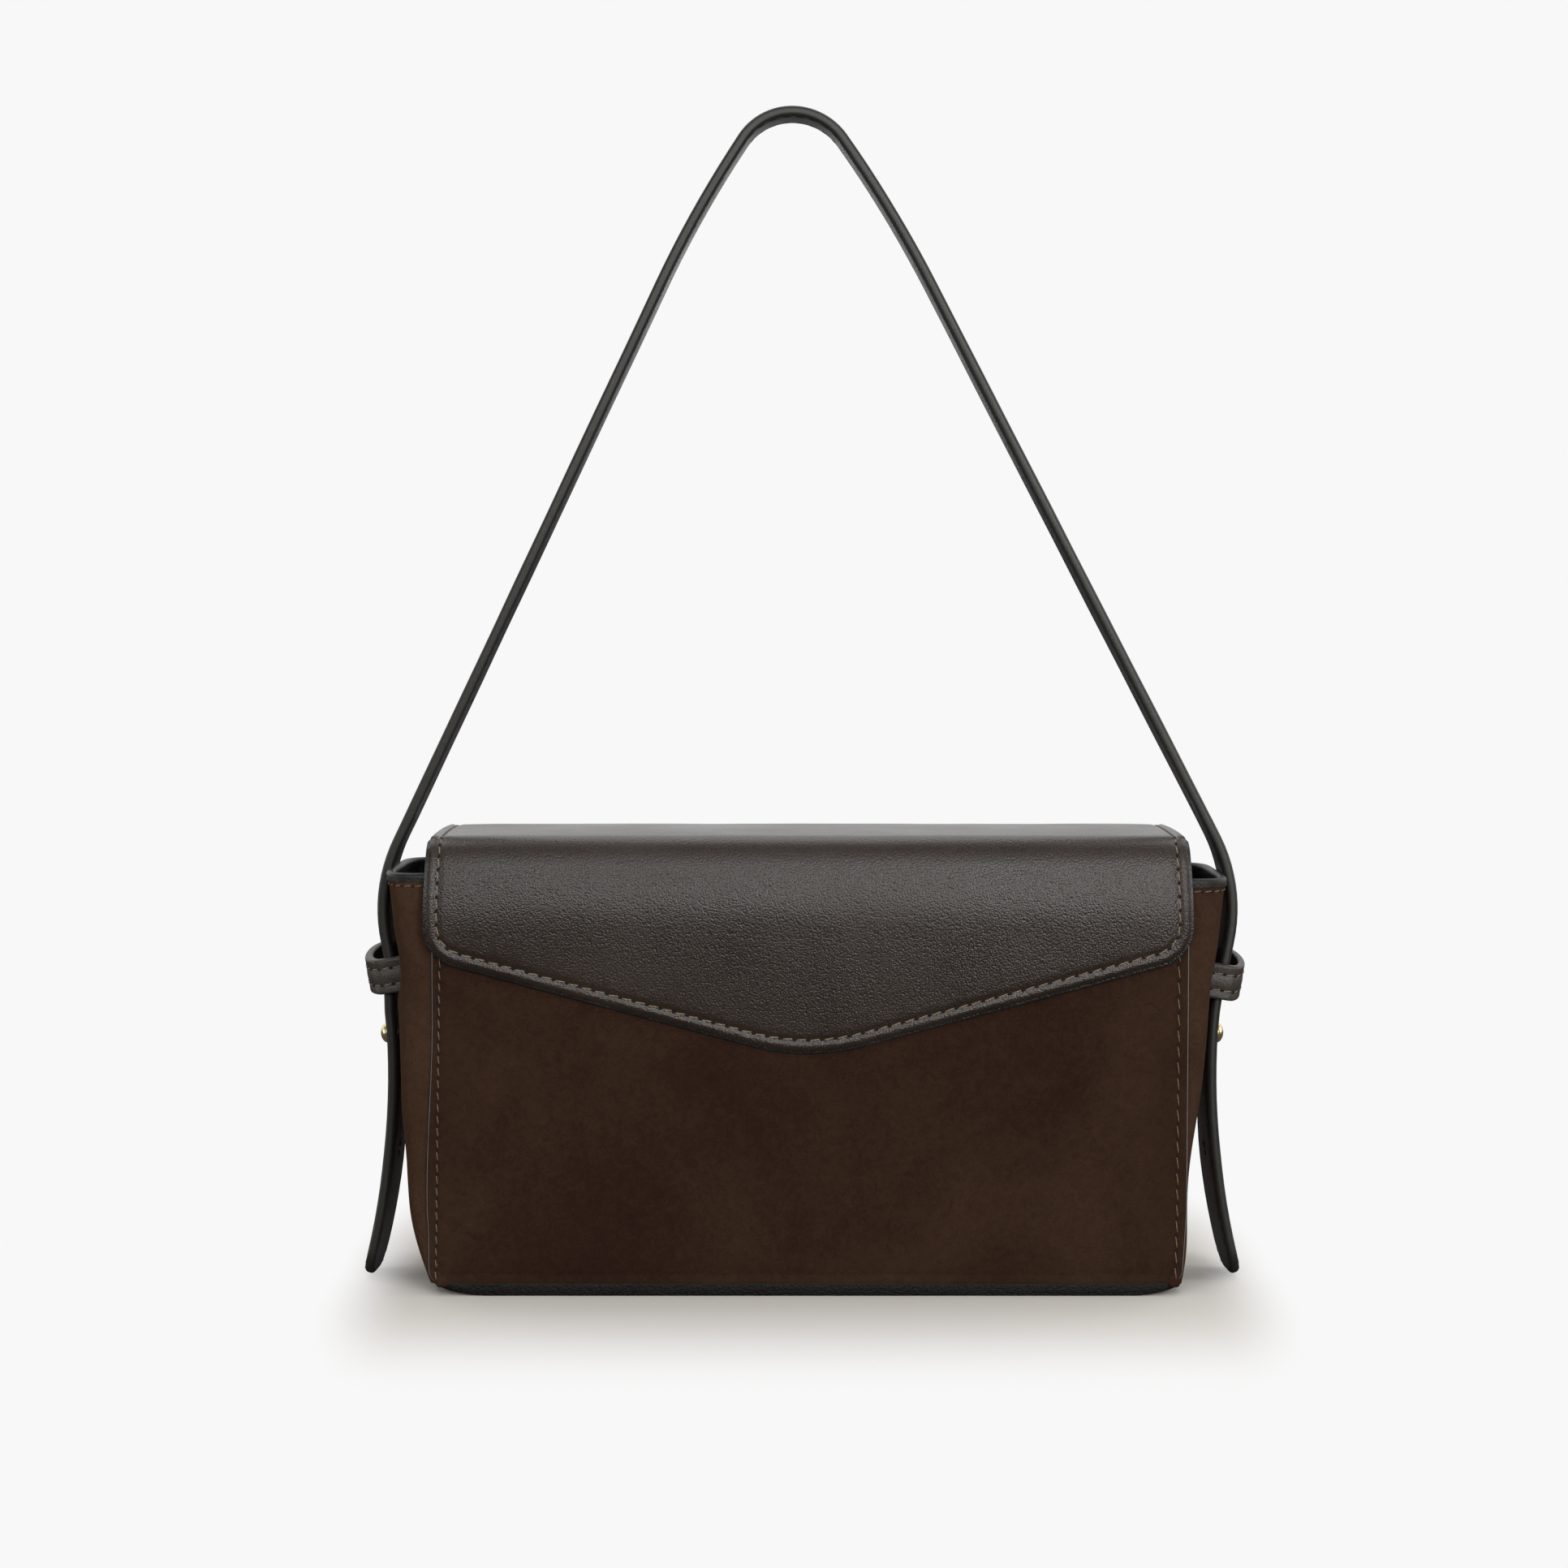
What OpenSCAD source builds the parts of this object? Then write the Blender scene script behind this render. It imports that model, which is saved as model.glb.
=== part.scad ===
// Small structured shoulder bag: suede box body, leather envelope flap and one flat strap.
// Millimetres. The floor is z = 0, the front faces -Y and the origin is the centre of the base.

/* [Body] */
// Width of the front and back panels
body_w = 240.6; // [210:0.2:270]
// Depth over the front and back panels
body_d = 70; // [60:1:84]
// Height of the rim above the floor
rim_z = 133; // [128:0.5:150]
// Thickness of the base strip
base_t = 3.7; // [3:0.1:5]
// How far the base strip's ends curl up from the floor
base_curl_h = 2.4; // [1:0.1:2.6]
// Length of each end of the base strip that curls up
base_curl_len = 20; // [14:1:30]
// How much narrower each panel is at its foot, on each side
panel_draw = 1.4; // [0.4:0.2:4]
// Height over which the panels draw in
panel_draw_h = 24; // [16:1:60]
// Radius of the panels' lower corners
panel_corner_r = 5; // [2:0.5:9]
// Radius of the base strip's long lower edges
base_edge_r = 1.2; // [0.6:0.1:2]
// Corner radius of the base board and of the lining on it
board_corner_r = 3; // [1:0.5:6]

/* [Sheets] */
// Thickness of the front and back suede
panel_t = 1.6; // [1.2:0.1:2.2]
// Thickness of the gusset suede
gusset_t = 1.2; // [0.9:0.1:1.6]
// Thickness of the stiffening boards
board_t = 1.6; // [1.2:0.1:2.4]
// Thickness of the lining
lining_t = 0.6; // [0.4:0.1:1]
// Thickness of the leather that binds the rim
binding_t = 0.7; // [0.5:0.1:1]
// Height of the binding on the walls
binding_h = 2.2; // [1.6:0.1:4]
// Height of the leather facing inside the back
facing_h = 18; // [10:1:28]

/* [Gussets] */
// How far the seam lies inside the edge of the panels
seam_inset = 1.6; // [1:0.1:3]
// Width of the flange that is sewn behind each panel
flange_w = 7; // [5:0.5:10]
// How far the gusset stands out over its lower half
low_bulge = 9.2; // [6:0.2:11]
// Height in which the gusset rounds out above the base
low_roll = 14; // [8:1:20]
// How far the gusset stands out at the rim
rim_bulge = 13.8; // [11:0.2:17]
// Height where the gusset starts to flare
flare_z = 60; // [40:1:80]
// Squareness of the gusset seen from above
gusset_power = 4.5; // [3:0.1:6]

/* [Flap] */
// How far the flap's outer leather reaches past each side of the panels
flap_lap = 0.1; // [-4:0.1:0.6]
// Thickness of each of the flap's two leathers
flap_ply = 1.6; // [1.2:0.1:2]
// How far the lower leather shows past the outer one
flap_reveal = 1; // [0.4:0.1:2]
// Lowest point of the outer leather
flap_tip_z = 78.9; // [60:0.1:100]
// Slope of the envelope edges, in degrees
flap_slope = 15.2; // [8:0.1:17]
// Radius of the rounded tip
flap_tip_r = 68; // [30:1:90]
// Radius of the flap's lower corners
flap_corner_r = 12; // [6:0.5:20]
// Radius of the front fold, at the inside
flap_front_r = 10; // [8:0.5:16]
// Radius of the back fold, at the middle
flap_back_r = 6; // [5:0.2:8]
// How far the back fold turns, in degrees
flap_back_turn = 86.8; // [84:0.2:89]
// Height of the strip that holds the flap to the back
back_strip_h = 24; // [16:1:40]
// Radius of that strip's lower corners
strip_corner_r = 4; // [2:0.5:8]
// Thickness of the stiffener between the leathers
stiffener_t = 0.6; // [0.4:0.1:0.8]
// Margin of the stiffener inside the flap's edge
stiffener_margin = 7; // [5:0.5:12]

/* [Strap] */
// Width of the strap
strap_w = 25; // [20:0.5:28]
// Thickness of the strap
strap_t = 3.3; // [2.6:0.1:3.6]
// Length of half the crown
crown_len = 18.6; // [15:0.2:26]
// Turn of half the crown, in degrees
crown_angle = 55.3; // [50:0.1:58]
// Length of the gentle shoulder beside the crown
shoulder_len = 53.8; // [40:0.2:70]
// Turn of the shoulder, in degrees
shoulder_angle = 8.2; // [6:0.1:10]
// Length of the bow beside the rim
bow_len = 34.3; // [28:0.1:40]
// Turn of the bow, in degrees
bow_angle = 37.9; // [36:0.1:41]
// Height of the lower end of the bow
bow_z = 110.4; // [106:0.1:113]
// Length from the bow to the tip of the tail
tail_len = 108.6; // [85:0.1:110]
// Outward curl of that length, in degrees
tail_angle = 26.6; // [15:0.1:32]
// How far the strap stands off the gusset at the bow's lower end
strap_stand_off = 4; // [3:0.1:6]
// Radius of the tail's corners
tail_corner_r = 8; // [4:0.5:12]
// How far the crown leans to the left
strap_lean = 5; // [0:0.5:10]
// Distance between adjustment holes
hole_pitch = 38; // [30:0.5:42]
// Diameter of an adjustment hole
hole_d = 5; // [4.6:0.1:6]
// Length of the slit above each hole
slit_len = 5; // [3:0.5:7]
// Width of the slit
slit_w = 0.7; // [0.5:0.1:1]

/* [Keepers and studs] */
// Height of a keeper
keeper_h = 10.6; // [8:0.1:12]
// Thickness of a keeper's leather
keeper_t = 2.5; // [1.6:0.1:3]
// Room between the strap and the keeper's outer wall
keeper_room = 3; // [1:0.1:4]
// Distance from the bow to the middle of the keeper, along the strap
keeper_drop = 9.2; // [8:0.1:14]
// Distance from the bow to the stud, along the strap
stud_drop = 31.2; // [26:0.1:34]
// Diameter of the stud's domed head
stud_head_d = 6.8; // [6:0.1:8]
// Height of the stud's head
stud_head_h = 2.5; // [2:0.1:3.2]
// Height of the straight edge below the stud's dome
stud_edge_h = 0.7; // [0.4:0.1:1]
// Diameter of the stud's neck
stud_neck_d = 4; // [3.6:0.1:4.4]
// Diameter of the stud's foot
stud_foot_d = 8; // [7:0.1:10]
// Diameter of the screw that holds the stud
screw_d = 2.4; // [2:0.1:2.6]
// Diameter of that screw's head
screw_head_d = 8; // [6:0.1:10]
// Thickness of that screw's head
screw_head_h = 0.9; // [0.6:0.1:1.4]

/* [Inside] */
// Diameter of the closing magnets
magnet_d = 16; // [10:0.5:18]
// Thickness of the closing magnets
magnet_t = 1; // [0.8:0.1:1.2]
// Height of the magnets above the flap's tip
magnet_up = 15; // [12:0.5:20]
// Width of the slip pocket
pocket_w = 150; // [100:1:180]
// Height of the slip pocket
pocket_h = 78; // [50:1:85]
// Depth of the slip pocket
pocket_d = 3; // [2:0.1:4]
// Height of the pocket's foot above the floor
pocket_z = 28; // [18:1:30]
// Radius of the pocket's lower corners
pocket_corner_r = 6; // [3:0.5:12]
// Width of the seam that closes the pocket's sides and foot
pocket_seam = 2; // [1:0.5:4]

/* [Fit] */
// Running gap between pieces that move
gap = 0.3; // [0.2:0.05:0.4]
// Gap between sheets that only lie together
lay = 0.05; // [0.02:0.01:0.1]

/* [Hidden] */
$fn = 64;
suede = [0.2, 0.14, 0.1];
leather = [0.26, 0.23, 0.21];
edge_leather = [0.13, 0.12, 0.12];
cloth = [0.05, 0.05, 0.06];
board = [0.55, 0.5, 0.42];
gold = [0.85, 0.68, 0.38];
steel = [0.6, 0.62, 0.65];

// Layers of the walls, from the outside in
panel_in = body_d / 2 - panel_t;
board_in = panel_in - board_t;
wall_in = board_in - lining_t;
seam_x = body_w / 2 - seam_inset;
floor_in = base_t + board_t + lining_t;

flap_w = body_w + 2 * flap_lap;

// Steps of the curved outlines, and how far a chord may leave a route's curve
arc_step = 4;
dome_step = 10;
plan_step = 9;
curl_steps = 5;
gusset_rows = 12;
gusset_row_growth = 1.4;
curve_tolerance = 0.02;
least_step = 0.2;

// How far a cutting shape runs past the face that it cuts, and the small chamfers of the stud
past = 1;
stud_foot_chamfer = 0.3;
stud_head_chamfer = 0.5;

// Points of the arc that rounds corner b, between a and c, to radius r
function unit(v) = v / norm(v);
function fillet(a, b, c, r) =
    r == 0 ? [b] :
    let (u = unit(a - b), v = unit(c - b), half = acos(u * v) / 2)
    let (mid = b + unit(u + v) * r / sin(half), s = b + u * r / tan(half) - mid)
    let (e = b + v * r / tan(half) - mid, a0 = atan2(s[1], s[0]))
    let (turn = atan2(s[0] * e[1] - s[1] * e[0], s * e), n = max(2, ceil(abs(turn) / arc_step)))
    [for (i = [0:n]) mid + r * [cos(a0 + turn * i / n), sin(a0 + turn * i / n)]];
function rounded(pts, radii) =
    let (n = len(pts))
    [for (i = [0:n - 1]) each fillet(pts[(i + n - 1) % n], pts[i], pts[(i + 1) % n], radii[i])];

// Flat shapes raised to solids: in the XZ plane along Y, and in the YZ plane along X
module along_y(w, y = 0) {
    translate([0, y + w / 2, 0]) rotate([90, 0, 0]) linear_extrude(w) children();
}
module along_x(w, x = 0) {
    translate([x - w / 2, 0, 0]) rotate([90, 0, 90]) linear_extrude(w) children();
}
// A box from its lowest to its highest corner
module block(lo, hi) {
    translate(lo) cube(hi - lo);
}
module sided(side) {
    if (side > 0) children();
    else mirror([1, 0, 0]) children();
}

// A route is a start [u, v, heading] and stretches of [length, turn].
// Heading 0 runs along +u, and turns go towards -v.
function step_on(p, l, turn) =
    abs(turn) < 0.001 ? [p[0] + l * cos(p[2]), p[1] - l * sin(p[2]), p[2]] :
    let (r = l / (turn * PI / 180), h = p[2] + turn)
    [p[0] + r * (sin(h) - sin(p[2])), p[1] + r * (cos(h) - cos(p[2])), h];
function along(runs, s, p, i = 0) =
    s <= runs[i][0] || i == len(runs) - 1 ? step_on(p, s, runs[i][1] * s / runs[i][0]) :
    along(runs, s - runs[i][0], step_on(p, runs[i][0], runs[i][1]), i + 1);
function run_end(runs, i) = i < 0 ? 0 : runs[i][0] + run_end(runs, i - 1);
// Distances along the route from s0 to s1, close enough together to keep to the curve
function pieces(run) = max(1, ceil(sqrt(run[0] * abs(run[1]) * PI / 180 / (8 * curve_tolerance))));
function stops(runs, s0, s1) = concat([s0],
    [for (i = [0:len(runs) - 1]) let (n = pieces(runs[i]))
        for (k = [0:n - 1]) let (s = run_end(runs, i - 1) + runs[i][0] * k / n)
            if (s > s0 + least_step && s < s1 - least_step) s], [s1]);
// The route moved sideways by off, towards the side that lies above it
function beside(p, off) = [p[0] + off * sin(p[2]), p[1] + off * cos(p[2])];
function edge_line(runs, p0, s0, s1, off) =
    [for (s = stops(runs, s0, s1)) beside(along(runs, s, p0), off)];
function backwards(v) = [for (i = [len(v) - 1:-1:0]) v[i]];

// Gusset, seen from above: a squared arch from the front seam to the back seam
function bulge(z) = low_bulge * (1 - exp(-z / low_roll))
    + (rim_bulge - low_bulge) * pow(max(0, z - flare_z) / (rim_z - flare_z), 2);
function arch(z, off) = [for (a = [-90:plan_step:90])
    [seam_x + (bulge(z) - off) * pow(abs(cos(a)), 2 / gusset_power),
     (panel_in - off) * sign(sin(a)) * pow(abs(sin(a)), 2 / gusset_power)]];
function with_ends(v, x) =
    x == v[0][0] ? v : concat([[x, v[0][1]]], v, [[x, v[len(v) - 1][1]]]);
function wall_loop(z, near, far, x) =
    concat(with_ends(arch(z, near), x), backwards(with_ends(arch(z, far), x)));
// Each loop runs along the outer face and back along the inner one, so the two ends close in quads
module skin(loops) {
    n = len(loops[0]);
    m = len(loops);
    top = (m - 1) * n;
    polyhedron(
        points = [for (l = loops) each l],
        faces = concat([for (i = [0:n / 2 - 2]) [i, i + 1, n - 2 - i, n - 1 - i]],
            [for (i = [0:n / 2 - 2]) [top + n - 1 - i, top + n - 2 - i, top + i + 1, top + i]],
            [for (j = [0:m - 2]) for (i = [0:n - 1]) let (k = (i + 1) % n, a = j * n, b = a + n)
                each [[a + i, b + i, b + k], [a + i, b + k, a + k]]]));
}
module gusset_wall(z0, z1, near, far, x) {
    skin([for (i = [0:gusset_rows])
        let (z = z0 + (z1 - z0) * pow(i / gusset_rows, gusset_row_growth))
        [for (p = wall_loop(z, near, far, x)) [p[0], p[1], z]]]);
}
function gusset_x(z) = seam_x + bulge(z);

// Strap route, from the crown down the right side
leg_angle = crown_angle + shoulder_angle;
function run_across(l, a, turn) = let (r = l / (turn * PI / 180)) r * (sin(a + turn) - sin(a));
bow_x = gusset_x(bow_z) + strap_stand_off + strap_t / 2;
leg_len = (bow_x - run_across(crown_len, 0, crown_angle)
    - run_across(shoulder_len, crown_angle, shoulder_angle)
    - run_across(bow_len, leg_angle, bow_angle)) / cos(leg_angle);
strap_runs = [[crown_len, crown_angle], [shoulder_len, shoulder_angle], [leg_len, 0],
    [bow_len, bow_angle], [tail_len, -tail_angle]];
bow_s = run_end(strap_runs, 3);
crown_z = bow_z - along(strap_runs, bow_s, [0, 0, 0])[1];
crown = [0, crown_z, 0];
function strap_at(s) = along(strap_runs, s, crown);
// The distance along the strap at which it is at height z, on the leg or the bow
function strap_s(z, lo = crown_len, hi = bow_s + 1, n = 24) =
    n == 0 ? (lo + hi) / 2 : let (mid = (lo + hi) / 2)
    strap_at(mid)[1] > z ? strap_s(z, mid, hi, n - 1) : strap_s(z, lo, mid, n - 1);
swing_z = rim_z + binding_t + gap + strap_w / 2;
strap_foot_z = swing_z - strap_w / 2;
stud_s = bow_s + stud_drop;
keeper_s = bow_s + keeper_drop;
flex_s = stud_s + hole_d / 2 + slit_len;
tail_s = bow_s + tail_len;
function leaned(p) =
    [p[0] - strap_lean * max(0, (p[1] - swing_z) / (crown_z - swing_z)), p[1]];
function flipped(v) = [for (p = v) [-p[0], p[1]]];

// Puts its children on the strap: local +X points out of the bag and local +Z up the strap
module on_strap(s, side) {
    p = strap_at(s);
    sided(side) translate([p[0], 0, p[1]]) rotate([0, p[2] - 90, 0]) children();
}
// A round hole with a slit above it
module keyhole(s, side) {
    on_strap(s, side) {
        rotate([0, 90, 0]) cylinder(d = hole_d, h = 4 * strap_t, center = true);
        block([-2 * strap_t, -slit_w / 2, 0], [2 * strap_t, slit_w / 2, hole_d / 2 + slit_len]);
    }
}
// Strip of strap between two distances along the route
module strip(side, s0, s1) {
    sided(side) along_y(strap_w) polygon(concat(edge_line(strap_runs, crown, s0, s1, strap_t / 2),
        backwards(edge_line(strap_runs, crown, s0, s1, -strap_t / 2))));
}

module strap() {
    foot_s = strap_s(strap_foot_z);
    outer = edge_line(strap_runs, crown, 0, foot_s + strap_t, strap_t / 2);
    inner = edge_line(strap_runs, crown, 0, foot_s + strap_t, -strap_t / 2);
    color(leather) difference() {
        intersection() {
            along_y(strap_w) polygon([for (p = concat(backwards(flipped(outer)), outer,
                backwards(inner), flipped(inner))) leaned(p)]);
            union() {
                block([-body_w, -strap_w / 2, swing_z], [body_w, strap_w / 2, crown_z + strap_t]);
                translate([-body_w, 0, swing_z]) rotate([0, 90, 0])
                    cylinder(d = strap_w, h = 2 * body_w);
            }
        }
        for (side = [-1, 1], k = [2, 3]) let (s = stud_s - k * hole_pitch, p = strap_at(s))
            translate([leaned(p)[0] - p[0], 0, 0]) keyhole(s, side);
    }
}
// Lower end of the strap, from the rim through the keeper to just below the stud
module strap_end(side) {
    color(leather) difference() {
        intersection() {
            strip(side, strap_s(strap_foot_z) - strap_t, flex_s - strap_t / 2 - gap);
            block([-body_w, -strap_w / 2, 0], [body_w, strap_w / 2, strap_foot_z - gap]);
        }
        for (k = [0, 1]) keyhole(stud_s - k * hole_pitch, side);
    }
}
// Free tail below the stud, with a round edge where it flexes and a rounded tip
module tail(side) {
    tip_z = strap_at(tail_s)[1] - strap_t;
    top_z = strap_at(flex_s)[1] + strap_t;
    color(leather) difference() {
        union() {
            intersection() {
                strip(side, flex_s, tail_s);
                along_x(4 * body_w) polygon(rounded([[-strap_w / 2, tip_z], [strap_w / 2, tip_z],
                    [strap_w / 2, top_z], [-strap_w / 2, top_z]],
                    [tail_corner_r, tail_corner_r, 0, 0]));
            }
            on_strap(flex_s, side) rotate([90, 0, 0])
                cylinder(d = strap_t, h = strap_w, center = true);
        }
        keyhole(stud_s + hole_pitch, side);
    }
}

// Keeper: a leather band round the strap, its two legs through slits in the gusset
module keeper_place(side) {
    on_strap(keeper_s, side) children();
}
keeper_y = strap_w / 2 + gap;
keeper_x = strap_t / 2 + keeper_room;
keeper_p = strap_at(keeper_s);
keeper_leg = keeper_p[0] - gusset_x(keeper_p[1]) + gusset_t;
keeper_reach = 4 * keeper_leg;
nose_x = strap_t / 2;
gusset_lean = atan(gusset_x(keeper_p[1] + 0.5) - gusset_x(keeper_p[1] - 0.5));
// Outline seen from above: an oval nose of half width y, and straight legs back to -reach
module keeper_plan(x, y, reach) {
    polygon(concat([[-reach, -y]], [for (a = [-90:plan_step:90])
        [nose_x + (x - nose_x) * cos(a), y * sin(a)]], [[-reach, y]]));
}
module keeper_band(grow) {
    outer = keeper_t + grow;
    translate([0, 0, -keeper_h / 2 - grow]) linear_extrude(keeper_h + 2 * grow) difference() {
        keeper_plan(keeper_x + outer, keeper_y + outer, keeper_reach);
        keeper_plan(keeper_x - grow, keeper_y - grow, 2 * keeper_reach);
    }
}
// The legs end on the inner face of the gusset
module keeper(side) {
    color(leather) difference() {
        keeper_place(side) keeper_band(0);
        sided(side) translate([keeper_p[0] - keeper_leg, 0, keeper_p[1]]) rotate([0, gusset_lean, 0])
            block([-2 * keeper_reach, -body_d, -body_d], [lay, body_d, body_d]);
    }
}

// Stud: foot on the gusset, neck through the strap, domed head, and a blind hole for its screw
stud_p = strap_at(stud_s);
stud_seat = gusset_x(stud_p[1]) - stud_p[0] + gap;
module stud_place(side) {
    sided(side) translate([stud_p[0], 0, stud_p[1]]) rotate([0, 90, 0]) children();
}
module stud(side) {
    foot_top = -strap_t / 2 - gap;
    head_z = strap_t / 2 + gap;
    r = stud_head_d / 2;
    dome = [for (a = [0:dome_step:90])
        [max(0, r * cos(a)), head_z + stud_edge_h + (stud_head_h - stud_edge_h) * sin(a)]];
    color(gold) stud_place(side) difference() {
        rotate_extrude() polygon(concat([[0, stud_seat], [stud_foot_d / 2, stud_seat],
            [stud_foot_d / 2, foot_top - stud_foot_chamfer],
            [stud_foot_d / 2 - stud_foot_chamfer, foot_top], [stud_neck_d / 2, foot_top],
            [stud_neck_d / 2, head_z], [r - stud_head_chamfer, head_z]], dome));
        translate([0, 0, stud_seat - past]) cylinder(d = screw_d + lay, h = past - stud_seat);
    }
}
module stud_screw(side) {
    inside = gusset_x(stud_p[1]) - stud_p[0] - gusset_t - lining_t - 2 * gap;
    color(steel) stud_place(side) union() {
        translate([0, 0, inside - screw_head_h]) cylinder(d = screw_head_d, h = screw_head_h);
        translate([0, 0, inside - lay]) cylinder(d = screw_d - lay, h = lay - inside - gap);
    }
}
module stud_hole(side) {
    stud_place(side) translate([0, 0, -5 * gusset_t])
        cylinder(d = screw_d + 2 * gap, h = 10 * gusset_t, center = true);
}

// Front and back panels: drawn in towards the foot, with rounded lower corners
module panel_outline(top, margin, foot) {
    hw = body_w / 2 - margin;
    polygon(rounded([[-hw, top], [-hw, base_t + panel_draw_h], [panel_draw - hw, foot],
        [hw - panel_draw, foot], [hw, base_t + panel_draw_h], [hw, top]],
        [0, 4 * panel_corner_r, panel_corner_r, panel_corner_r, 4 * panel_corner_r, 0]));
}
module wall(side, top, margin, foot, y_out, t) {
    along_y(t, side * (y_out - t / 2)) panel_outline(top, margin, foot);
}
board_margin = seam_inset + flange_w + gap;
module front_panel() {
    color(suede) wall(-1, rim_z, 0, base_t, body_d / 2, panel_t);
}
magnet_z = flap_tip_z + magnet_up;
module front_board() {
    color(board) difference() {
        wall(-1, rim_z - lay, board_margin, base_t + gap, panel_in, board_t);
        translate([0, -panel_in, magnet_z]) rotate([90, 0, 0])
            cylinder(d = magnet_d + 2 * gap, h = 4 * board_t, center = true);
    }
}
module front_magnet() {
    color(steel) translate([0, -panel_in + lay, magnet_z]) rotate([-90, 0, 0])
        cylinder(d = magnet_d, h = magnet_t);
}
module front_lining() {
    color(cloth) wall(-1, rim_z - lay, seam_inset + lay, floor_in, board_in, lining_t);
}
// Folded leather over the top edge of the front
module front_top_binding() {
    y0 = -body_d / 2 - lay;
    y1 = -wall_in + lay;
    hw = body_w / 2;
    color(edge_leather) difference() {
        block([-hw, y0 - binding_t + gap, rim_z - binding_h], [hw, y1 + binding_t, rim_z + binding_t]);
        block([-hw - past, y0, rim_z - binding_h - past], [hw + past, y1, rim_z + lay]);
    }
}

// Flap route in the YZ plane, from the hinge over the top and down the front, at mid thickness
flap_t = 2 * flap_ply;
front_r = flap_front_r + flap_ply;
flap_in = body_d / 2 + binding_t + gap;
hinge_y = body_d / 2 + flap_ply / 2;
back_in = flap_back_r * (1 - cos(flap_back_turn));
top_run = hinge_y - back_in + flap_in + flap_ply - front_r;
top_turn = 90 - flap_back_turn;
top_len = top_run / cos(top_turn / 2);
front_top = rim_z + front_r;
hinge_z = front_top - top_run * tan(top_turn / 2) - flap_back_r * sin(flap_back_turn);
front_len = front_top - front_r - flap_tip_z + 2 * flap_reveal;
flap_runs = [[flap_back_r * flap_back_turn * PI / 180, flap_back_turn], [top_len, top_turn],
    [front_r * PI / 2, 90], [front_len, 0]];
// Here u is the forward direction, so the route starts by running straight up
flap_start = [-hinge_y, hinge_z, -90];
flap_total = run_end(flap_runs, 3);
module flap_ribbon(from, to, s0 = 0) {
    near = edge_line(flap_runs, flap_start, s0, flap_total, from);
    far = edge_line(flap_runs, flap_start, s0, flap_total, to);
    along_x(2 * body_w) mirror([1, 0, 0]) polygon(concat(near, backwards(far)));
}
// Envelope outline in the XZ plane, grown by g
module envelope(g) {
    hw = flap_w / 2 + g;
    tip = flap_tip_z - g / cos(flap_slope) - flap_tip_r * (1 / cos(flap_slope) - 1);
    corner = tip + hw * tan(flap_slope);
    top = front_top + flap_t;
    along_y(3 * body_d) polygon(rounded([[-hw, top], [-hw, corner], [0, tip], [hw, corner], [hw, top]],
        [0, flap_corner_r + g, flap_tip_r, flap_corner_r + g, 0]));
}
module flap_outer() {
    color(leather) intersection() {
        union() {
            flap_ribbon(0, flap_ply);
            along_x(2 * body_w) translate([hinge_y, hinge_z]) intersection() {
                circle(r = flap_ply);
                translate([-2 * flap_ply, -2 * flap_ply]) square([4 * flap_ply, 2 * flap_ply]);
            }
        }
        envelope(0);
    }
}
module stiffener_shape(grow) {
    intersection() {
        flap_ribbon(-stiffener_t - grow, grow, flap_runs[0][0] + stiffener_margin - grow);
        envelope(grow - stiffener_margin);
    }
}
module magnet_room(grow) {
    translate([0, -flap_in - flap_ply, magnet_z]) rotate([-90, 0, 0])
        translate([0, 0, -grow]) cylinder(d = magnet_d + 2 * grow, h = magnet_t + 2 * grow);
}
module flap_stiffener() {
    color(board) difference() {
        stiffener_shape(-lay);
        magnet_room(gap);
    }
}
module flap_magnet() {
    color(steel) magnet_room(-lay);
}
module flap_lining() {
    color(edge_leather) difference() {
        intersection() {
            flap_ribbon(-flap_ply, -lay);
            envelope(flap_reveal);
        }
        stiffener_shape(lay);
        magnet_room(lay);
    }
}

// Back wall. Its top stays clear of the flap's hinge edge
back_top = hinge_z - flap_ply - gap;
module back_panel() {
    color(suede) wall(1, back_top, 0, base_t, body_d / 2, panel_t);
}
module back_board() {
    color(board) wall(1, back_top - gap, board_margin, base_t + gap, panel_in, board_t);
}
module back_lining() {
    color(cloth) wall(1, back_top - gap, seam_inset + lay, floor_in, board_in, lining_t);
}
module back_facing() {
    hw = body_w / 2 - seam_inset - flange_w;
    color(leather) block([-hw, wall_in - binding_t, back_top - facing_h], [hw, wall_in, back_top - gap]);
}
// Strip sewn on the back, out of which the flap's leather folds
module flap_back_strip() {
    top = hinge_z - flap_ply - 3 * gap;
    hw = flap_w / 2;
    color(leather) along_y(flap_ply, body_d / 2 + flap_ply / 2)
        polygon(rounded([[-hw, top], [-hw, top - back_strip_h], [hw, top - back_strip_h], [hw, top]],
            [0, strip_corner_r, strip_corner_r, 0]));
}

module gusset(side) {
    flange_x = body_w / 2 - seam_inset - flange_w;
    color(suede) difference() {
        sided(side) gusset_wall(base_t + lay, rim_z, 0, gusset_t, flange_x);
        keeper_place(side) keeper_band(gap / 2);
        stud_hole(side);
    }
}
module gusset_lining(side) {
    near = gusset_t + lay;
    color(cloth) difference() {
        sided(side) gusset_wall(floor_in, rim_z, near, near + lining_t, seam_x);
        stud_hole(side);
    }
}
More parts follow.
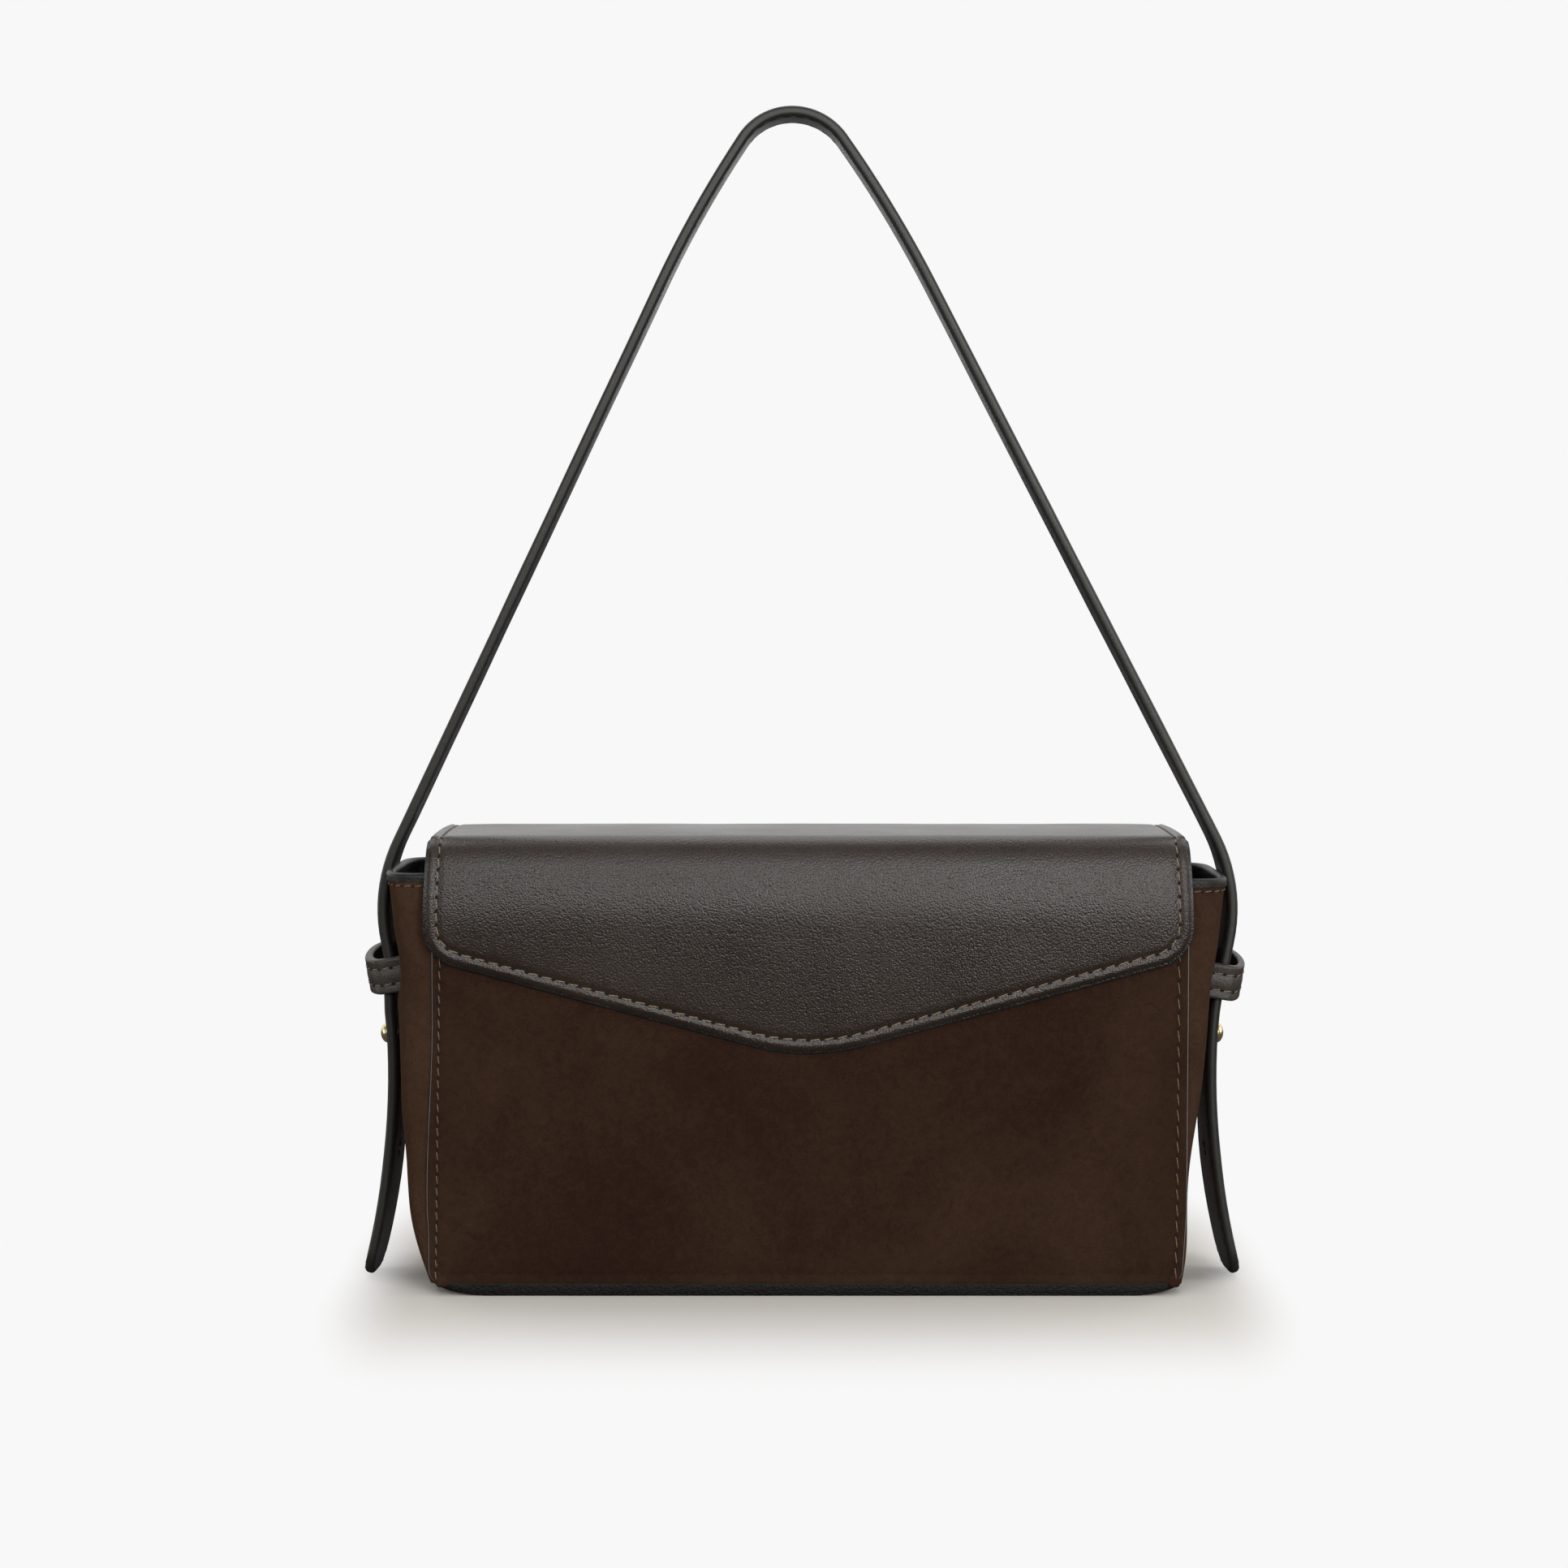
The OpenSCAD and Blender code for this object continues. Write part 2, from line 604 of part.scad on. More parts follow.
// Folded leather over the gusset's rim, an exact band that follows the arch
module top_binding(side) {
    slot = gusset_t + lining_t + 10 * lay;
    x0 = body_w / 2 + lay;
    color(edge_leather) intersection() {
        sided(side) difference() {
            translate([0, 0, rim_z - binding_h]) linear_extrude(binding_h + binding_t)
                polygon(wall_loop(rim_z, gap - binding_t, slot + binding_t, seam_x));
            translate([0, 0, rim_z - binding_h - past]) linear_extrude(binding_h + past + lay)
                polygon(wall_loop(rim_z, -2 * lay, slot, seam_x - past));
        }
        sided(side) block([x0, -body_d / 2, 0], [body_w, body_d / 2, rim_z + binding_t]);
    }
}

// Base: a thick leather strip whose ends curl up to the gussets
module base_plan(margin) {
    v = [for (p = arch(base_t, margin)) if (p[0] > seam_x - margin) p];
    hd = body_d / 2 - margin;
    r = [for (p = v) [p[0], p[1] * hd / panel_in]];
    polygon(concat(r, [for (p = backwards(r)) [-p[0], p[1]]]));
}
module base_panel() {
    hw = gusset_x(base_t) + 1;
    flat = hw - base_curl_len;
    curl_r = (base_curl_len * base_curl_len + base_curl_h * base_curl_h) / (2 * base_curl_h);
    curl = asin(base_curl_len / curl_r);
    foot = [for (i = [0:curl_steps]) let (a = curl * i / curl_steps)
        [flat + curl_r * sin(a), curl_r * (1 - cos(a))]];
    color(edge_leather) intersection() {
        along_y(2 * body_d) polygon(concat(foot, [[hw, base_t], [-hw, base_t]],
            backwards(flipped(foot))));
        along_x(2 * body_w) polygon(rounded([[-body_d / 2, 0], [body_d / 2, 0],
            [body_d / 2, base_t], [-body_d / 2, base_t]],
            [base_edge_r, base_edge_r, 0, 0]));
        linear_extrude(base_t) base_plan(0);
    }
}
module base_sheet(z0, t) {
    hw = seam_x - panel_draw;
    r = board_corner_r;
    translate([0, 0, z0]) linear_extrude(t) polygon(rounded([[-hw, -wall_in], [hw, -wall_in],
        [hw, wall_in], [-hw, wall_in]], [r, r, r, r]));
}
module base_board() {
    color(board) base_sheet(base_t, board_t);
}
module base_lining() {
    color(cloth) base_sheet(base_t + board_t, lining_t);
}

// Open slip pocket sewn to the back lining
module inner_pocket() {
    y1 = wall_in;
    hw = pocket_w / 2;
    color(cloth) difference() {
        along_y(pocket_d, y1 - pocket_d / 2) polygon(rounded([[-hw, pocket_z], [hw, pocket_z],
            [hw, pocket_z + pocket_h], [-hw, pocket_z + pocket_h]],
            [pocket_corner_r, pocket_corner_r, 0, 0]));
        block([pocket_seam - hw, y1 - pocket_d + lining_t, pocket_z + pocket_seam],
            [hw - pocket_seam, y1 + past, pocket_z + pocket_h + past]);
    }
}

front_panel();
front_board();
front_lining();
front_magnet();
front_top_binding();
back_panel();
back_board();
back_lining();
back_facing();
flap_back_strip();
gusset(-1);  // left_gusset
gusset(1);  // right_gusset
gusset_lining(-1);  // left_gusset_lining
gusset_lining(1);  // right_gusset_lining
top_binding(-1);  // left_top_binding
top_binding(1);  // right_top_binding
base_panel();
base_board();
base_lining();
inner_pocket();
flap_outer();
flap_stiffener();
flap_lining();
flap_magnet();
keeper(-1);  // left_keeper
keeper(1);  // right_keeper
stud(-1);  // left_stud
stud(1);  // right_stud
stud_screw(-1);  // left_stud_screw
stud_screw(1);  // right_stud_screw
strap();
strap_end(-1);  // left_strap_end
strap_end(1);  // right_strap_end
tail(-1);  // left_tail
tail(1);  // right_tail
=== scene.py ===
# %% [markdown]
# A small structured shoulder bag, dressed over its construction model.
# The construction model says where every piece is and how it turns. This lesson gives each
# piece its real surface: suede, smooth leather, painted edges, thread, lining and gold.
# We load the model first.

# %% Load the construction model
import math
import bpy
from mathutils import Matrix, Vector, noise


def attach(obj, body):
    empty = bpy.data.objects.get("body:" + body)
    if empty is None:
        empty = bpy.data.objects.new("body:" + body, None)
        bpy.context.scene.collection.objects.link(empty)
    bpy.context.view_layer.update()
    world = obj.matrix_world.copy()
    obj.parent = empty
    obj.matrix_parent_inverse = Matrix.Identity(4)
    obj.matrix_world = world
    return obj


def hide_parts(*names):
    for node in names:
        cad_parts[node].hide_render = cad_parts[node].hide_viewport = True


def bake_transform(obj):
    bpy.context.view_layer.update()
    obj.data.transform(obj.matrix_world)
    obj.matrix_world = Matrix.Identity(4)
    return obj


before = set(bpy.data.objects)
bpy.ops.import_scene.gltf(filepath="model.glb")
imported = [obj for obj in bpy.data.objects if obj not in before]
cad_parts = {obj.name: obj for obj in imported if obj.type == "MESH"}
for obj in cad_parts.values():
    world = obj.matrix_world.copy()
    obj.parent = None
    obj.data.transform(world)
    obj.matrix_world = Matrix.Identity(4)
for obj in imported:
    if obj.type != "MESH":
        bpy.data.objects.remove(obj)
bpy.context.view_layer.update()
MM = 0.001

# %% [markdown]
# The photograph was taken from the front, a little above the rim, with a long lens.
# An 85 mm lens on a 36 mm sensor, 1.2 m away and tipped 4.5 degrees down, gives the same view.

# %% Camera
camera_data = bpy.data.cameras.new("camera")
camera_data.lens = 85
camera_data.sensor_width = 36
camera = bpy.data.objects.new("camera", camera_data)
bpy.context.scene.collection.objects.link(camera)
camera.location = (-7.6 * MM, -1195.6 * MM, 254.65 * MM)
camera.rotation_euler = (math.radians(85.5), 0, 0)
bpy.context.scene.camera = camera
print("camera at", [round(v, 4) for v in camera.location])

# %% [markdown]
# Materials are built from nodes. One function turns a colour written in hex into the linear
# numbers that shaders use, and one small function adds a node with its settings and links.
# Everything is measured in metres, so a pattern of 0.5 mm needs a scale of about 2000.

# %% Colour and node helpers
def paint(code):
    """A hex colour, as seen on a screen, in the linear numbers that a shader uses."""
    parts = [int(code[i:i + 2], 16) / 255 for i in (1, 3, 5)]
    return [c / 12.92 if c <= 0.04045 else ((c + 0.055) / 1.055) ** 2.4 for c in parts] + [1]


def add(tree, kind, inputs=None, **settings):
    """Adds one node. Each input is given a value, or a socket to take it from."""
    made = tree.nodes.new(kind)
    for key, value in settings.items():
        setattr(made, key, value)
    for key, value in (inputs or {}).items():
        if isinstance(value, bpy.types.NodeSocket):
            tree.links.new(value, made.inputs[key])
        else:
            made.inputs[key].default_value = value
    return made


def new_finish(name):
    """An empty material with its node tree and the object's own coordinates."""
    finish = bpy.data.materials.new(name)
    finish.use_nodes = True
    finish.node_tree.nodes.clear()
    place = add(finish.node_tree, "ShaderNodeTexCoord").outputs["Object"]
    return finish, finish.node_tree, place


def per_mm(size):
    """The texture scale at which one cell of a pattern is about this many millimetres."""
    return 1000 / size


# %% [markdown]
# Most finishes use the same few nodes, so each of them gets a short function: a noise, a wave,
# a change of range, a piece of arithmetic and a mix of two colours. The last function ends a
# material with a bump, a surface and an output.

# %% Node functions
def noise_at(tree, place, size, detail=2, roughness=0.5, distortion=0.0):
    """Cloudy noise with cells of this many millimetres."""
    return add(tree, "ShaderNodeTexNoise", {"Vector": place, "Scale": per_mm(size), "Detail": detail,
                                            "Roughness": roughness,
                                            "Distortion": distortion}).outputs[0]


def wave_at(tree, place, size, direction, distortion=0.0):
    """Even stripes with this many millimetres to each."""
    return add(tree, "ShaderNodeTexWave", {"Vector": place, "Scale": per_mm(size),
                                           "Distortion": distortion},
               bands_direction=direction).outputs["Fac"]


def ranged(tree, value, low, high, start=0.0, end=1.0, **settings):
    """Turns the values from start to end into values from low to high."""
    return add(tree, "ShaderNodeMapRange", {"Value": value, 1: start, 2: end, 3: low, 4: high},
               **settings).outputs[0]


def reckoned(tree, operation, one, two):
    return add(tree, "ShaderNodeMath", {0: one, 1: two}, operation=operation).outputs[0]


def mixed(tree, share, one, two, blend="MIX"):
    """A mix of two colours, or the product of a colour and a factor with the blend MULTIPLY."""
    return add(tree, "ShaderNodeMix", {0: share, 6: one, 7: two}, data_type="RGBA",
               blend_type=blend).outputs[2]


def close_finish(tree, height, strength, depth, colour, roughness, **more):
    """Ends a material: a bump of this depth in millimetres, the surface and the output."""
    bump = add(tree, "ShaderNodeBump", {"Height": height, "Strength": strength,
                                        "Distance": depth * MM})
    skin = add(tree, "ShaderNodeBsdfPrincipled", {
        "Base Color": colour, "Roughness": roughness, "Normal": bump.outputs[0], **more})
    add(tree, "ShaderNodeOutputMaterial", {"Surface": skin.outputs[0]})


# %% [markdown]
# Suede is leather buffed on its flesh side into a short nap. The nap scatters light, so it has
# no highlight, a faint bright rim at grazing angles, and soft cloudy patches where it lies one
# way or the other. Four noises give the patches, the clumps, the fibres and a few pale specks
# of dust, and sheen gives the rim.

# %% Suede
def suede(name, dark, light, sheen):
    finish, tree, place = new_finish(name)
    cloud = noise_at(tree, place, 55, 3, 0.55, 0.6)
    # nap fibres are about 0.1 mm: drawn at 0.5 mm so that they still show in the render
    nap = noise_at(tree, place, 0.5, 4, 0.7)
    clump = noise_at(tree, place, 3.5, 4, 0.65, 1.2)
    speck = noise_at(tree, place, 1.3, 1)
    ground = mixed(tree, ranged(tree, cloud, 0, 1, 0.3, 0.7), paint(dark), paint(light))
    tone = reckoned(tree, "MULTIPLY", ranged(tree, clump, 0.84, 1.16, 0.3, 0.7),
                    ranged(tree, nap, 0.8, 1.2, 0.3, 0.7))
    napped = mixed(tree, 1.0, ground, tone, "MULTIPLY")
    dusty = mixed(tree, ranged(tree, speck, 0, 1, 0.83, 0.86), napped, paint("#6d5a49"))
    close_finish(tree, reckoned(tree, "ADD", nap, clump), 0.35, 0.3, dusty, 0.95, **{
        "Specular IOR Level": 0.05, "Sheen Weight": sheen, "Sheen Roughness": 0.5,
        "Sheen Tint": paint("#8a6244")})
    return finish


body_suede = suede("brushed_suede_dark_brown", "#302018", "#3e2c22", 0.06)
# the sides are the same suede as the panels, drawn lighter as painted light where they face the side
# lamps
gusset_suede = suede("brushed_suede_side_painted_lighter", "#3b2a20", "#4a3629", 0.1)
print("suede colours made")

# %% [markdown]
# The flap, the strap and the keepers are smooth calf leather with a fine printed grain.
# The grain is a net of tiny cells, each one a small dome between fine valleys, with pores in
# it. It breaks the soft highlight up a little. A slow cloud makes some patches look more worn.

# %% Smooth leather
def smooth_leather(name, base, worn, rough, grain_mm, grain, shine=0.5):
    finish, tree, place = new_finish(name)
    cells = add(tree, "ShaderNodeTexVoronoi", {"Vector": place, "Scale": per_mm(grain_mm)},
                feature="F1")
    dome = reckoned(tree, "POWER", cells.outputs["Distance"], 1.6)
    pores = noise_at(tree, place, 0.45, 1)
    cloud = noise_at(tree, place, 38)
    ground = mixed(tree, ranged(tree, cloud, 0, 1, 0.32, 0.68), paint(base), paint(worn))
    toned = mixed(tree, 1.0, ground, ranged(tree, dome, 1.1, 0.72, 0.0, 0.6), "MULTIPLY")
    gloss = ranged(tree, cloud, rough - 0.04, rough + 0.05, 0.3, 0.7)
    relief = reckoned(tree, "SUBTRACT", reckoned(tree, "MULTIPLY", pores, 0.5), dome)
    close_finish(tree, relief, grain, 0.3, toned, gloss, **{"Specular IOR Level": shine})
    return finish


flap_leather = smooth_leather("calf_leather_flap", "#2b2019", "#33271f", 0.3, 0.6, 0.36)
strap_leather = smooth_leather("calf_leather_strap", "#242321", "#2a2927", 0.38, 0.7, 0.22)
keeper_leather = smooth_leather("calf_leather_keeper", "#3b352f", "#433c35", 0.42, 0.7, 0.22)
binding_leather = smooth_leather("calf_leather_binding", "#1c1b1a", "#242220", 0.42, 0.6, 0.3, 0.3)
base_leather = smooth_leather("calf_leather_base", "#110f0d", "#171412", 0.5, 0.9, 0.4, 0.2)
inside_leather = smooth_leather("calf_leather_inside", "#161617", "#1c1c1e", 0.34, 0.7, 0.3)
# the strap's back is a glossy dark leather; its light grey colour is a painted reflection of the
# bright floor
strap_back_painted_reflection = smooth_leather("calf_leather_strap_back_painted_reflection", "#545259", "#5e5c62", 0.3, 0.7, 0.3, 0.7)
print("leathers made")

# %% [markdown]
# Cut edges are rubbed smooth and painted with thick acrylic edge colour. It dries to a slightly
# rubbery skin: blue-black on the flap, near black on the strap and grey on the suede panels.
# The thread is bonded from two plies, and a wave across it gives the twist.

# %% Edge paint, thread and needle holes
def painted_edge(name, colour, rough):
    finish, tree, place = new_finish(name)
    ripple = noise_at(tree, place, 2.2, 3)
    tone = mixed(tree, 1.0, paint(colour), ranged(tree, ripple, 0.85, 1.15), "MULTIPLY")
    close_finish(tree, ripple, 0.25, 0.2, tone, rough)
    return finish


def waxed_thread(name, colour):
    finish, tree, place = new_finish(name)
    twist = wave_at(tree, place, 2.2, "DIAGONAL", 1.5)
    tone = mixed(tree, 1.0, paint(colour), ranged(tree, twist, 0.7, 1.15), "MULTIPLY")
    close_finish(tree, twist, 0.4, 0.1, tone, 0.6)
    return finish


edge_paint = painted_edge("edge_paint_blue_black", "#2a2d38", 0.32)
strap_edge_paint = painted_edge("edge_paint_strap", "#282723", 0.4)
panel_edge_paint = painted_edge("edge_paint_panel", "#868c8d", 0.36)
# the needle holes are near black: painted shade inside the holes
painted_hole_shade = painted_edge("needle_hole_shadow", "#0c0a09", 0.9)
flap_thread = waxed_thread("waxed_thread_beige", "#8d7860")
dark_thread = waxed_thread("waxed_thread_brown", "#7a6550")
black_thread = waxed_thread("waxed_thread_black", "#1d1b1a")
print("edges and threads made")

# %% [markdown]
# The lining is a thin black microfibre with a coated, slightly shiny face. A close weave is
# pressed into it. The boards are grey fibre board, and the magnets and screws are plain metal.
# Plated metal was polished first: its fine wiping marks only show in the gloss.

# %% Lining, board and metals
def coated_lining(name):
    finish, tree, place = new_finish(name)
    # threads lie 0.25 mm apart: drawn much coarser so that the render can hold them
    weave = reckoned(tree, "ADD", wave_at(tree, place, 5.0, "Z"),
                     wave_at(tree, place, 5.0, "DIAGONAL"))
    cloud = noise_at(tree, place, 30, 3)
    colour = mixed(tree, cloud, paint("#0d0d10"), paint("#17171b"))
    close_finish(tree, weave, 0.15, 0.1, colour, ranged(tree, cloud, 0.26, 0.42))
    return finish


def fibre_board(name):
    finish, tree, place = new_finish(name)
    pulp = noise_at(tree, place, 1.5, 5, 0.7)
    close_finish(tree, pulp, 0.3, 0.2, mixed(tree, pulp, paint("#8b8170"), paint("#b8ad98")), 0.9)
    return finish


def plated(name, colour, rough):
    finish, tree, place = new_finish(name)
    wiping = noise_at(tree, place, 0.8, 3, 0.5, 2.0)
    gloss = ranged(tree, wiping, rough - 0.04, rough + 0.06, 0.3, 0.7)
    close_finish(tree, wiping, 0.06, 0.1, paint(colour), gloss, Metallic=1.0)
    return finish


lining_cloth = coated_lining("coated_microfibre_black")
board_grey = fibre_board("fibre_board")
light_gold = plated("light_gold_plating", "#f4dfb2", 0.24)
nickel = plated("nickel_plating", "#b9b7b2", 0.22)
zinc_steel = plated("zinced_steel", "#9fa1a3", 0.34)
print("materials:", len(bpy.data.materials))

# %% [markdown]
# Bag leather is worked flat. A maker cuts the outline, marks a hem, and only then folds the
# piece into shape. We do the same: a plane is cut to its outline with bisect, inset gives the
# hem lines, more bisects give it enough lines to bend on, Solidify and Bevel give it thickness
# and rubbed edges. Bend tools need a window, so the fold is a formula that moves each point
# from the flat pattern (u, v, height) to its place on the bag.

# %% Flat work: cutting a pattern
def deselect_everything():
    if bpy.context.mode != "OBJECT":
        bpy.ops.object.mode_set(mode="OBJECT")
    bpy.ops.object.select_all(action="DESELECT")


def pick(piece):
    """Makes this piece the only one that the next operators work on."""
    deselect_everything()
    piece.select_set(True)
    bpy.context.view_layer.objects.active = piece
    return piece


def arc_corner(before, corner, after, radius, step=6):
    """Points that round off one corner of an outline."""
    if radius == 0:
        return [corner]
    b, a, c = Vector(corner), Vector(before), Vector(after)
    u, v = (a - b).normalized(), (c - b).normalized()
    half = math.acos(max(-1, min(1, u.dot(v)))) / 2
    middle = b + (u + v).normalized() * radius / math.sin(half)
    start = b + u * radius / math.tan(half) - middle
    end = b + v * radius / math.tan(half) - middle
    first = math.atan2(start.y, start.x)
    turn = math.atan2(start.x * end.y - start.y * end.x, start.dot(end))
    count = max(2, math.ceil(abs(math.degrees(turn)) / step))
    return [(middle.x + radius * math.cos(first + turn * i / count),
             middle.y + radius * math.sin(first + turn * i / count)) for i in range(count + 1)]


def rounded(corners, radii):
    n = len(corners)
    return [p for i in range(n)
            for p in arc_corner(corners[i - 1], corners[i], corners[(i + 1) % n], radii[i])]


def box(half_width, low, high):
    """The corners of a rectangle, anticlockwise from the lower left."""
    return [(-half_width, low), (half_width, low), (half_width, high), (-half_width, high)]


def pattern(corners, radii):
    """A pattern's outline in metres, from its corners and their radii in millimetres."""
    return [(x * MM, y * MM) for x, y in rounded(corners, radii)]


def cuts_of(outline):
    """Each side of a convex outline, running anticlockwise, as a point and an outward normal."""
    cuts = []
    for (x0, y0), (x1, y1) in zip(outline, outline[1:] + outline[:1]):
        length = math.hypot(x1 - x0, y1 - y0)
        if length > 1e-7:
            cuts.append((x0, y0, (y1 - y0) / length, (x0 - x1) / length))
    return cuts


def inside_by(cuts, u, v):
    """How far a point of the pattern lies inside its cut edge."""
    return min((x - u) * nx + (y - v) * ny for x, y, nx, ny in cuts)


def spread(low, high, step):
    """Bending lines between two edges, at most a step apart, all given in millimetres."""
    low, high, step = low * MM, high * MM, step * MM
    count = max(1, math.ceil((high - low) / step))
    return [low + (high - low) * i / count for i in range(1, count)]


def cut_flat(name, outline, hems=(), u_lines=(), v_lines=()):
    """A flat pattern in the XY plane, with hem rings (in millimetres) and bending lines."""
    deselect_everything()
    reach = 2 * max(max(abs(x), abs(y)) for x, y in outline) + 0.02
    bpy.ops.mesh.primitive_plane_add(size=2 * reach)
    piece = bpy.context.object
    piece.name = name
    bpy.ops.object.mode_set(mode="EDIT")
    for x, y, nx, ny in cuts_of(outline):
        bpy.ops.mesh.select_all(action="SELECT")
        bpy.ops.mesh.bisect(plane_co=(x, y, 0), plane_no=(nx, ny, 0), clear_outer=True,
                            threshold=1e-6)
    bpy.ops.mesh.select_all(action="SELECT")
    for ring in hems:
        bpy.ops.mesh.inset(thickness=ring * MM, use_boundary=True, use_even_offset=True)
    for u in u_lines:
        bpy.ops.mesh.select_all(action="SELECT")
        bpy.ops.mesh.bisect(plane_co=(u, 0, 0), plane_no=(1, 0, 0), threshold=1e-6)
    for v in v_lines:
        bpy.ops.mesh.select_all(action="SELECT")
        bpy.ops.mesh.bisect(plane_co=(0, v, 0), plane_no=(0, 1, 0), threshold=1e-6)
    bpy.ops.mesh.select_all(action="SELECT")
    bpy.ops.mesh.remove_doubles(threshold=2e-5)
    bpy.ops.object.mode_set(mode="OBJECT")
    return piece


def lay_grid(name, u_low, u_high, v_low, v_high, columns, rows):
    """A plain rectangular pattern, which one grid primitive gives without cutting."""
    deselect_everything()
    bpy.ops.mesh.primitive_grid_add(x_subdivisions=columns, y_subdivisions=rows, size=1)
    piece = bpy.context.object
    piece.name = name
    bpy.ops.object.mode_set(mode="EDIT")
    bpy.ops.mesh.select_all(action="SELECT")
    bpy.ops.transform.resize(value=(u_high - u_low, v_high - v_low, 1))
    bpy.ops.transform.translate(value=((u_low + u_high) / 2, (v_low + v_high) / 2, 0))
    bpy.ops.object.mode_set(mode="OBJECT")
    return piece


# %% [markdown]
# The next helpers give the flat pattern its thickness and rounded edges, sort its faces into
# face leather and painted edge, fold it, and hand it to the body that it moves with.

# %% Flat work: thickness, folding and handing over
def thicken(piece, thickness, edge_round, segments=2, clamp=True):
    """Grows the pattern upwards and rubs its edges round. Both are given in millimetres."""
    pick(piece)
    wall = piece.modifiers.new("thickness", "SOLIDIFY")
    wall.thickness = thickness * MM
    wall.offset = 1
    bpy.ops.object.modifier_apply(modifier=wall.name)
    if edge_round:
        rub = piece.modifiers.new("rubbed_edge", "BEVEL")
        rub.width = edge_round * MM
        rub.segments = segments
        rub.use_clamp_overlap = clamp
        rub.limit_method = "ANGLE"
        rub.angle_limit = math.radians(60)
        bpy.ops.object.modifier_apply(modifier=rub.name)
    return piece


def thicken_share(piece):
    """Gives a grid measured in shares a thickness of one share, downwards."""
    wall = piece.modifiers.new("thickness", "SOLIDIFY")
    wall.thickness = 1
    wall.offset = -1
    bpy.ops.object.modifier_apply(modifier=wall.name)


def dress(piece, face, edge=None, back=None, limit=0.92):
    """Gives the faces their finishes: outer face, painted edge and back."""
    piece.data.materials.clear()
    for finish in (face, edge or face, back or face):
        piece.data.materials.append(finish)
    for polygon in piece.data.polygons:
        if abs(polygon.normal.z) < limit:
            polygon.material_index = 1
        else:
            polygon.material_index = 0 if polygon.normal.z > 0 else 2
    return piece


def fold(piece, place):
    """Moves each point of the flat pattern to its place on the bag."""
    for vertex in piece.data.vertices:
        vertex.co = place(*vertex.co)
    piece.data.update()
    return piece


def hand_over(piece, body, slot, *nodes, angle=40, flip=False):
    """Smooths the piece, lets it ride on its body and hides the construction parts that it stands
    for. Its slot is not used.
    """
    pick(piece)
    if flip:
        piece.data.flip_normals()
    bpy.ops.object.shade_smooth_by_angle(angle=math.radians(angle))
    if body:
        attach(piece, body)
    if nodes:
        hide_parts(*nodes)
    print(piece.name, len(piece.data.polygons), "faces")
    return piece


# %% [markdown]
# Stitches are modelled, because the photograph shows every one. One stitch is a short thread
# that dips into a needle hole at both ends. It is made once from a cylinder, and copied along
# the seam at its real pitch of 3.6 to 5 mm, each copy turned a few degrees as on the bag.

# %% One stitch
def make_stitch():
    """A cylinder bent down at its ends, 1 long and 1 wide, later scaled to the seam."""
    deselect_everything()
    bpy.ops.mesh.primitive_cylinder_add(vertices=6, radius=0.5, depth=1,
                                        rotation=(0, math.pi / 2, 0))
    stitch = bpy.context.object
    bpy.ops.object.transform_apply(location=True, rotation=True, scale=True)
    bpy.ops.object.mode_set(mode="EDIT")
    for cut in (-0.36, -0.15, 0.15, 0.36):
        bpy.ops.mesh.select_all(action="SELECT")
        bpy.ops.mesh.bisect(plane_co=(cut, 0, 0), plane_no=(1, 0, 0))
    bpy.ops.object.mode_set(mode="OBJECT")
    for vertex in stitch.data.vertices:
        t = 2 * vertex.co.x
        vertex.co.z -= 0.9 * t ** 4
        vertex.co.y *= 1 - 0.35 * t ** 2
    points = [tuple(v.co) for v in stitch.data.vertices]
    faces = [tuple(p.vertices) for p in stitch.data.polygons]
    bpy.data.objects.remove(stitch)
    return points, faces


stitch_points, stitch_faces = make_stitch()
# a needle hole is drawn as a small dark cap with six sides: its near-black colour is painted shade
# in the hole
hole_points = [(math.cos(a) * r, math.sin(a) * r, z) for r, z in ((1.0, 0.0), (0.6, 0.25))
               for a in [math.radians(60 * i) for i in range(6)]]
hole_faces = [(i, (i + 1) % 6, 6 + (i + 1) % 6, 6 + i) for i in range(6)] + [tuple(range(6, 12))]


